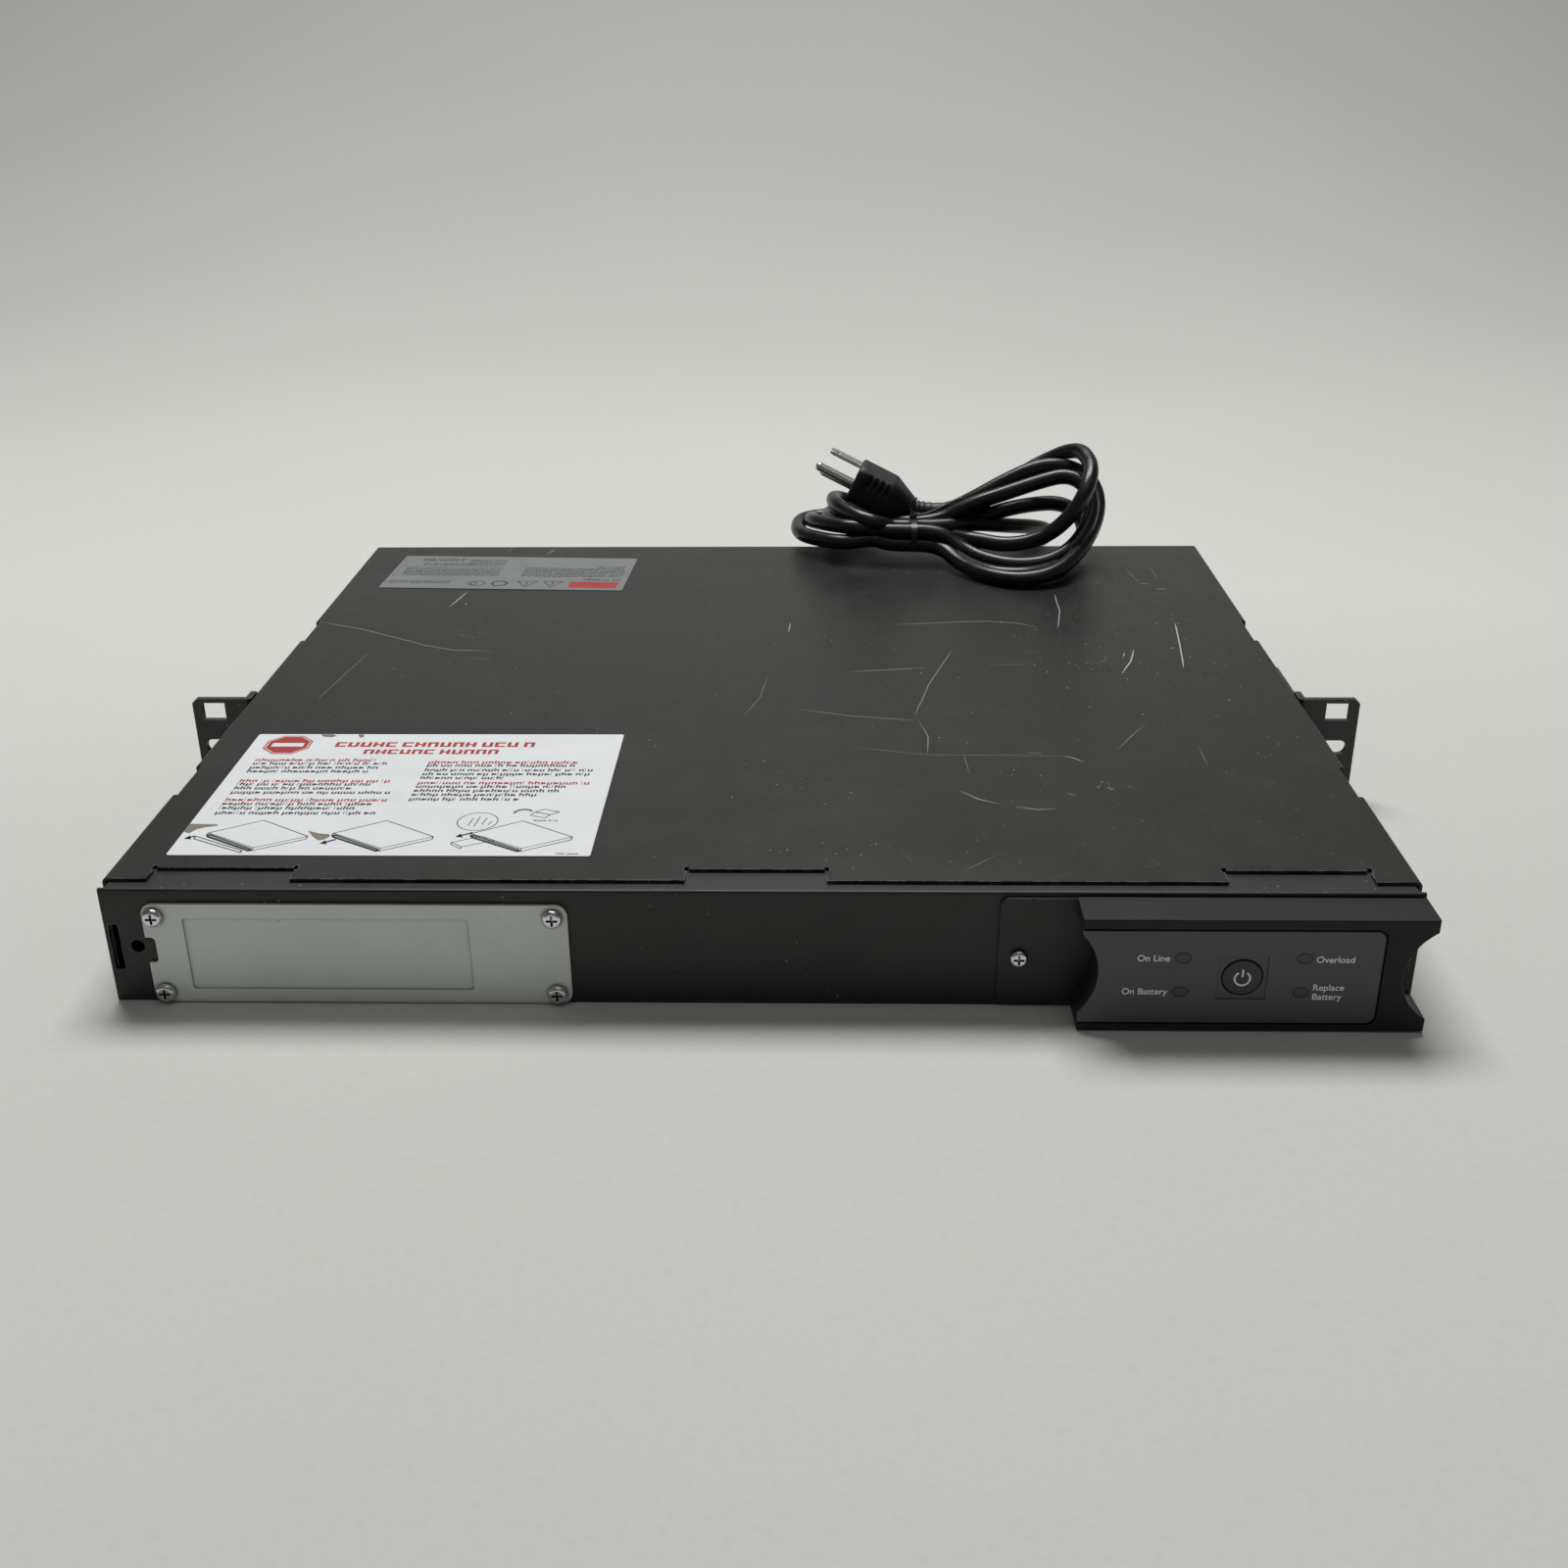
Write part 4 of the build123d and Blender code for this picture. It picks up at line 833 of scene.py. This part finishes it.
def print_instructions():
    """Octagon sign, red heading, two columns of dummy lines and the line pictures."""
    rng = random.Random(41)
    red = [polygon(SIGN, SIGN_RADIUS, 8, SIGN_TURN)]
    for left, right, base, height in HEADINGS:
        red += dummy_line(left, right, base, height, rng, 1.0, HEADING_SHAPES)
    red += column(LEFT_COLUMN, RED_LEFT_LINES, RED_HEIGHT, rng)
    red += column(RIGHT_COLUMN, RED_RIGHT_LINES, RED_HEIGHT, rng)
    black = column(LEFT_COLUMN, BLACK_LEFT_LINES, BLACK_HEIGHT, rng)
    black += column(RIGHT_COLUMN, BLACK_RIGHT_LINES, BLACK_HEIGHT, rng)
    black += line_pictures()
    for left, right, base, height in SMALL_PRINT:
        black += dummy_line(left, right, base, height, rng)
    sign = closed_line(polygon(SIGN, SIGN_LINE, 8, SIGN_TURN), SIGN_WIDTH)
    sign.append(box_outline(*SIGN_BAR))
    plates("label_red_print", red, on_cover(LABEL_THICK), INK, red_ink)
    plates("label_black_print", black, on_cover(LABEL_THICK), INK, black_ink)
    plates("label_sign_bar", sign, on_cover(LABEL_THICK + INK), INK, label_white)
    plates("label_tears", TEARS, on_cover(LABEL_THICK + INK * 0.5), INK, tear_brown)


# Ratings label, in its own axes: from its middle, along its turned sides.
RATINGS_MIDDLE = (-137.0, 335.0)
RATINGS_TURN = math.radians(-2.6)
RATINGS_BLOCKS = (                      # left, right, bases of the lines, and their height
    (-50.0, -27.0, (20.6, 17.9), 1.9), (-25.0, -5.5, (19.9, 17.7, 15.5, 13.3, 11.1), 1.2),
    (-48.0, -22.0, (13.2, 10.9), 1.5), (-55.0, -5.5, (5.2, 3.0, 0.8, -1.4, -3.6, -5.8), 1.2),
    (-58.0, -26.0, (-15.8, -18.4), 1.3), (6.0, 58.0, (7.4, 5.2, 3.0, 0.8, -1.4, -3.6, -5.8), 1.2),
    (42.0, 58.5, (10.2,), 1.8), (39.0, 58.0, (-10.9,), 2.2),
)
RATINGS_RULE = (-59.0, -5.5, 8.3, 8.6)
RATINGS_BAR = (33.0, 57.0, -22.6, -13.4)
TRIANGLES = (11.5, 24.5)
TRIANGLE_HALF = 5.0
TRIANGLE_ENDS = (-13.4, -22.4)          # its base and its tip
TRIANGLE_MARK = (-14.6, -19.2)
RATINGS_RINGS = (((-13.0, -18.0), 3.6, 0.5), ((-15.6, -18.0), 2.2, 0.4), ((-2.0, -17.6), 3.8, 0.9, 9))


def on_ratings(u, v, w):
    """Seat for plates that lie on the ratings label."""
    x = RATINGS_MIDDLE[0] + u * math.cos(RATINGS_TURN) - v * math.sin(RATINGS_TURN)
    y = RATINGS_MIDDLE[1] + u * math.sin(RATINGS_TURN) + v * math.cos(RATINGS_TURN)
    return at(x, y, CASE_TOP + LABEL_THICK + w)


def print_ratings():
    """Tiny dummy lines, two triangles, rings and a plain red bar, all upside down."""
    rng = random.Random(7)
    dark = []
    for left, right, bases, height in RATINGS_BLOCKS:
        for base in bases:
            dark += dummy_line(left, right, base, height, rng)
    dark.append(box_outline(*RATINGS_RULE))
    base, tip = TRIANGLE_ENDS
    for u in TRIANGLES:
        dark += closed_line([(u - TRIANGLE_HALF, base), (u + TRIANGLE_HALF, base), (u, tip)], 0.5)
        dark.append(stroke([(u, v) for v in TRIANGLE_MARK], 1.0, 0.6))
    for shape in RATINGS_RINGS:
        dark += ring(*shape)
    plates("ratings_print", dark, on_ratings, INK, black_ink)
    plates("ratings_bar", [box_outline(*RATINGS_BAR)], on_ratings, INK, red_ink)


print_instructions()
print_ratings()


# ---- Legends and symbols on the display ----------------------------------------------------
FACE = -16.0                            # the overlay's front
LEGENDS = (
    ("On Line", 132.5, 26.5, "RIGHT"), ("On Battery", 132.5, 14.2, "RIGHT"),
    ("Overload", 178.6, 26.2, "LEFT"), ("Replace", 178.6, 15.9, "LEFT"), ("Battery", 178.7, 12.5, "LEFT"),
)
LEGEND_SIZE = 0.0032                    # metres, as are the next two
LEGEND_SPREAD = 0.00003                 # added round each stroke
LEGEND_THICK = 0.00001                  # half the thickness of the print
POWER_MARK = (156.0, 20.1)
POWER_CAP = FACE + 0.1                  # the button's front
POWER_RADIUS = 2.45
POWER_LINE = 0.6
POWER_BAR = (0.6, 3.3)                  # its ends, above the ring's middle
POWER_GAP = 32                          # degrees from the upright bar to each end of the ring
POWER_STEPS = 26


def print_legends():
    """Plain white words beside the indicators, as thin closed plates."""
    for number, (words, x, z, side) in enumerate(LEGENDS, 1):
        text = bpy.data.curves.new(f"legend_{number}", "FONT")
        text.body = words
        text.size = LEGEND_SIZE
        text.extrude = LEGEND_THICK
        text.offset = LEGEND_SPREAD
        text.align_x = side
        holder = bpy.data.objects.new(f"legend_{number}_text", text)
        bpy.context.scene.collection.objects.link(holder)
        upright = Matrix.Rotation(math.pi / 2, 4, "X")
        holder.matrix_world = Matrix.Translation(at(x, FACE - 0.01, z)) @ upright
        bpy.context.view_layer.update()
        mesh = bpy.data.meshes.new_from_object(holder)
        mesh.transform(holder.matrix_world)
        bpy.data.objects.remove(holder)
        mesh.materials.clear()
        piece(f"legend_{number}", mesh, white_ink)


def power_symbol():
    """Open ring with an upright bar, on the button's cap."""
    x, z = POWER_MARK
    sweep = 360 - 2 * POWER_GAP
    arc = [math.radians(90 + POWER_GAP + sweep * i / POWER_STEPS) for i in range(POWER_STEPS + 1)]
    line = [(x + POWER_RADIUS * math.cos(a), z + POWER_RADIUS * math.sin(a)) for a in arc]
    bar = [(x, z + height) for height in POWER_BAR]
    marks = [stroke(line, POWER_LINE, 1.0), stroke(bar, POWER_LINE, 1.0)]
    plates("power_mark", marks, lambda u, v, w: at(u, POWER_CAP - w, v), INK, white_ink, "power_button")


print_legends()
power_symbol()

# ---- Wear ----------------------------------------------------------------------------------
# Scratches through the cover's paint: width, then the points of the line.
BRIGHT_SCRATCHES = (
    (0.7, ((-153.3, 305.2), (-157.6, 282.1))), (0.6, ((6.0, 258.8), (5.5, 246.4))),
    (0.5, ((132.9, 300.0), (132.3, 275.0), (128.6, 251.7))),
    (0.8, ((182.9, 257.6), (180.0, 230.2), (176.2, 200.5))),
    (0.8, ((158.6, 223.6), (155.0, 208.8), (148.8, 193.8))),
    (0.9, ((100.2, 109.5), (105.0, 109.1))), (0.6, ((113.3, 106.4), (116.9, 104.5), (119.8, 101.0))),
    (0.6, ((71.7, 74.8), (77.6, 68.3), (84.8, 64.0))), (0.8, ((110.2, 73.1), (112.9, 71.2))),
    (0.5, ((90.7, 61.7), (97.9, 59.3), (104.5, 59.8))), (1.6, ((177.0, 316.6), (181.0, 315.8))),
    (1.8, ((183.4, 308.2), (187.8, 308.2))), (2.2, ((152.6, 214.6), (153.8, 218.4))),
    (1.4, ((174.8, 224.6), (176.8, 225.2))), (1.0, ((-150.8, 287.8), (-150.2, 284.8))),
    (0.6, ((-143.0, 381.0), (-145.0, 371.0))), (0.5, ((-120.0, 378.0), (-124.0, 366.0))),
)
FAINT_SCRATCHES = (
    (0.9, ((-215.2, 261.2), (-193.8, 251.7), (-172.4, 238.6), (-158.1, 229.0), (-143.8, 222.6),
           (-126.0, 221.2))),
    (0.5, ((-179.5, 220.2), (-171.2, 232.6))), (0.4, ((-180.7, 219.5), (-184.3, 194.5), (-188.3, 162.4))),
    (1.2, ((-135.5, 212.4), (-124.8, 211.2))), (1.2, ((-110.5, 267.9), (-101.0, 267.9))),
    (0.4, ((-60.0, 283.8), (-58.1, 270.7))), (0.4, ((-2.1, 189.8), (-4.5, 166.0), (-10.5, 146.9))),
    (0.7, ((12.1, 152.9), (32.4, 146.2), (58.6, 141.7))),
    (0.7, ((59.8, 141.0), (62.6, 125.5), (61.7, 108.8))),
    (0.7, ((58.6, 146.9), (65.7, 180.2), (72.9, 204.0), (78.3, 221.9))),
    (0.9, ((53.8, 256.4), (77.6, 259.3), (96.7, 261.0), (111.0, 258.3), (119.3, 252.6))),
    (0.6, ((173.3, 341.0), (176.4, 318.3))), (0.7, ((166.2, 370.7), (168.8, 361.2))),
    (0.6, ((149.0, 137.9), (141.9, 125.5), (134.3, 112.4))),
    (0.4, ((75.2, 111.2), (76.4, 89.8))),
    (0.4, ((32.4, 114.8), (61.0, 107.6), (96.7, 106.9), (113.3, 106.4))),
    (0.5, ((91.9, 202.9), (112.4, 205.2))), (1.3, ((110.0, 220.5), (115.0, 220.4))),
    (0.9, ((32.4, 195.7), (65.7, 200.5))), (0.4, ((165.7, 116.0), (165.7, 96.9))),
    (0.4, ((96.7, 6.4), (103.8, 11.7))), (0.4, ((186.0, 345.0), (186.6, 322.0))),
    (0.5, ((157.0, 286.0), (170.0, 293.0))), (0.5, ((178.0, 297.0), (186.0, 303.0))),
    (0.4, ((48.0, 27.0), (52.0, 18.0))), (0.4, ((68.0, 12.0), (80.0, 24.0))),
)
# Patches of small nicks: middle, half size in x and y, and how many.
NICKS = ((-146.0, 242.0, 14.0, 7.0, 16), (127.0, 80.0, 9.0, 4.0, 16), (170.0, 268.0, 18.0, 12.0, 18),
         (150.0, 215.0, 12.0, 30.0, 14), (95.0, 215.0, 22.0, 16.0, 10), (185.0, 235.0, 10.0, 30.0, 12),
         (100.0, 92.0, 12.0, 12.0, 12), (60.0, 30.0, 60.0, 25.0, 14), (66.0, 321.0, 1.5, 1.5, 2),
         (120.0, 190.0, 80.0, 70.0, 60), (150.0, 300.0, 50.0, 60.0, 40), (0.0, 190.0, 200.0, 170.0, 90))


NICK_SIZES = (0.15, 0.5)
NICK_ANGLES = (0.0, 1.3, 2.5, 3.8, 5.1)
BRIGHT_SHARE = 0.4
LABELLED = ((-202, -55, 20, 129), (-202, -55, 302, 366))    # left, right, front and back of labels


def nick(u, v, rng):
    """Small ragged spot."""
    size = rng.uniform(*NICK_SIZES)
    return [(u + size * rng.uniform(0.5, 1.0) * math.cos(a), v + size * rng.uniform(0.5, 1.0) * math.sin(a))
            for a in NICK_ANGLES]


def wear_cover():
    """Scratches and nicks, as slivers of bared primer on the cover."""
    rng = random.Random(23)
    bright = [stroke(wander(line, 6.0, 0.12, rng), width * 0.75) for width, line in BRIGHT_SCRATCHES]
    faint = [stroke(wander(line, 8.0, 0.2, rng), width * 0.7) for width, line in FAINT_SCRATCHES]
    for x, y, half_x, half_y, count in NICKS:
        for _ in range(count):
            u, v = x + rng.uniform(-half_x, half_x), y + rng.uniform(-half_y, half_y)
            if any(left < u < right and front < v < back for left, right, front, back in LABELLED):
                continue
            spot = nick(u, v, rng)
            (bright if rng.random() < BRIGHT_SHARE else faint).append(spot)
    plates("cover_scratches", bright, on_cover(0.0), 0.02, bright_mark)
    plates("cover_scuffs", faint, on_cover(0.0), 0.015, faint_mark)


wear_cover()

# ---- Camera, floor and light --------------------------------------------------------------
EYE = (23.69, -483.58, 304.20)
YAW, PITCH, ROLL = -0.02877, 0.43233, -0.01029      # radians
SENSOR = 36.0
FOCAL = 38.83
# Paper sweep, in metres: half its width, its front edge, where it starts to bend, the radius of
# the bend and the top of the wall behind it.
PAPER_HALF = 4.0
PAPER_FRONT = -3.2
PAPER_BEND = 0.80
PAPER_RADIUS = 1.1
PAPER_TOP = 4.0
PAPER_STEPS = 12
PAPER_PAINTED_SHADE = (0.25, 1.7, 0.62)          # painted shade, falling off towards the back: it darkens from the first y to the second by a share
# Lights: name, place, what it points at, size and power.
LIGHTS = (
    ("key", (-0.15, 0.95, 2.3), (0, 0.05, 0), (1.7, 0.9), 60.0),
    ("fill", (0.3, -0.9, 2.6), (0, 0, 0), (2.0, 1.4), 4.0),
)
BACKDROP_COLOUR = (1.0, 0.995, 0.985, 1.0)
BACKDROP_STRENGTH = 0.10

ahead = Vector((math.sin(YAW) * math.cos(PITCH), math.cos(YAW) * math.cos(PITCH), -math.sin(PITCH)))
level = Vector((math.cos(YAW), -math.sin(YAW), 0.0))
upright = level.cross(ahead)
right = level * math.cos(ROLL) + upright * math.sin(ROLL)
up = upright * math.cos(ROLL) - level * math.sin(ROLL)
lens = bpy.data.cameras.new("camera")
lens.lens = FOCAL
lens.sensor_width = SENSOR
lens.clip_start = 0.01
camera = bpy.data.objects.new("camera", lens)
camera.matrix_world = Matrix.Translation(at(*EYE)) @ Matrix((right, up, -ahead)).transposed().to_4x4()
bpy.context.scene.collection.objects.link(camera)
bpy.context.scene.camera = camera
bpy.context.scene.view_settings.view_transform = "Standard"


def sweep_floor():
    """Pale paper sweep: flat under the object, then curving up into a wall behind it, with painted shade
    darkening it towards the back.
    """
    profile = [(PAPER_FRONT, 0.0), (PAPER_BEND, 0.0)]
    for i in range(1, PAPER_STEPS + 1):
        angle = math.radians(90 * i / PAPER_STEPS)
        away = PAPER_RADIUS * math.sin(angle)
        profile.append((PAPER_BEND + away, PAPER_RADIUS * (1 - math.cos(angle))))
    profile.append((PAPER_BEND + PAPER_RADIUS, PAPER_TOP))
    build = bmesh.new()
    rows = [[build.verts.new((x, y, z)) for x in (-PAPER_HALF, PAPER_HALF)] for y, z in profile]
    for near, far in zip(rows, rows[1:]):
        build.faces.new((near[0], near[1], far[1], far[0])).smooth = True
    mesh = bpy.data.meshes.new("floor")
    build.to_mesh(mesh)
    build.free()
    floor = bpy.data.objects.new("floor", mesh)
    bpy.context.scene.collection.objects.link(floor)
    paper = Finish("paper", 0.85)
    tone = paper.noise(3, 3)
    base = paper.mix(tone, srgb(206, 205, 200), srgb(214, 213, 208))
    base = paper.mix(paper.span(paper.noise(300, 3), 0.5, 0.8, 0, 0.25), base, srgb(190, 188, 183))
    # Painted shade: the paper darkens with its distance behind the object.
    depth = paper.add("ShaderNodeSeparateXYZ", {0: paper.place}).outputs["Y"]
    near, far, share = PAPER_PAINTED_SHADE
    paper.colour(paper.mix(paper.span(depth, near, far, 0.0, share), base, srgb(120, 120, 117)))
    mesh.materials.append(paper.material)


def area_light(name, place, target, size, power):
    light = bpy.data.lights.new(name, "AREA")
    light.shape = "RECTANGLE"
    light.size, light.size_y = size
    light.energy = power
    made = bpy.data.objects.new(name, light)
    made.location = place
    made.rotation_mode = "QUATERNION"
    made.rotation_quaternion = (Vector(target) - Vector(place)).to_track_quat("-Z", "Y")
    bpy.context.scene.collection.objects.link(made)


sweep_floor()
for light_facts in LIGHTS:
    area_light(*light_facts)
world = bpy.data.worlds.new("studio")
world.use_nodes = True
backdrop = world.node_tree.nodes["Background"]
backdrop.inputs["Color"].default_value = BACKDROP_COLOUR
backdrop.inputs["Strength"].default_value = BACKDROP_STRENGTH
bpy.context.scene.world = world
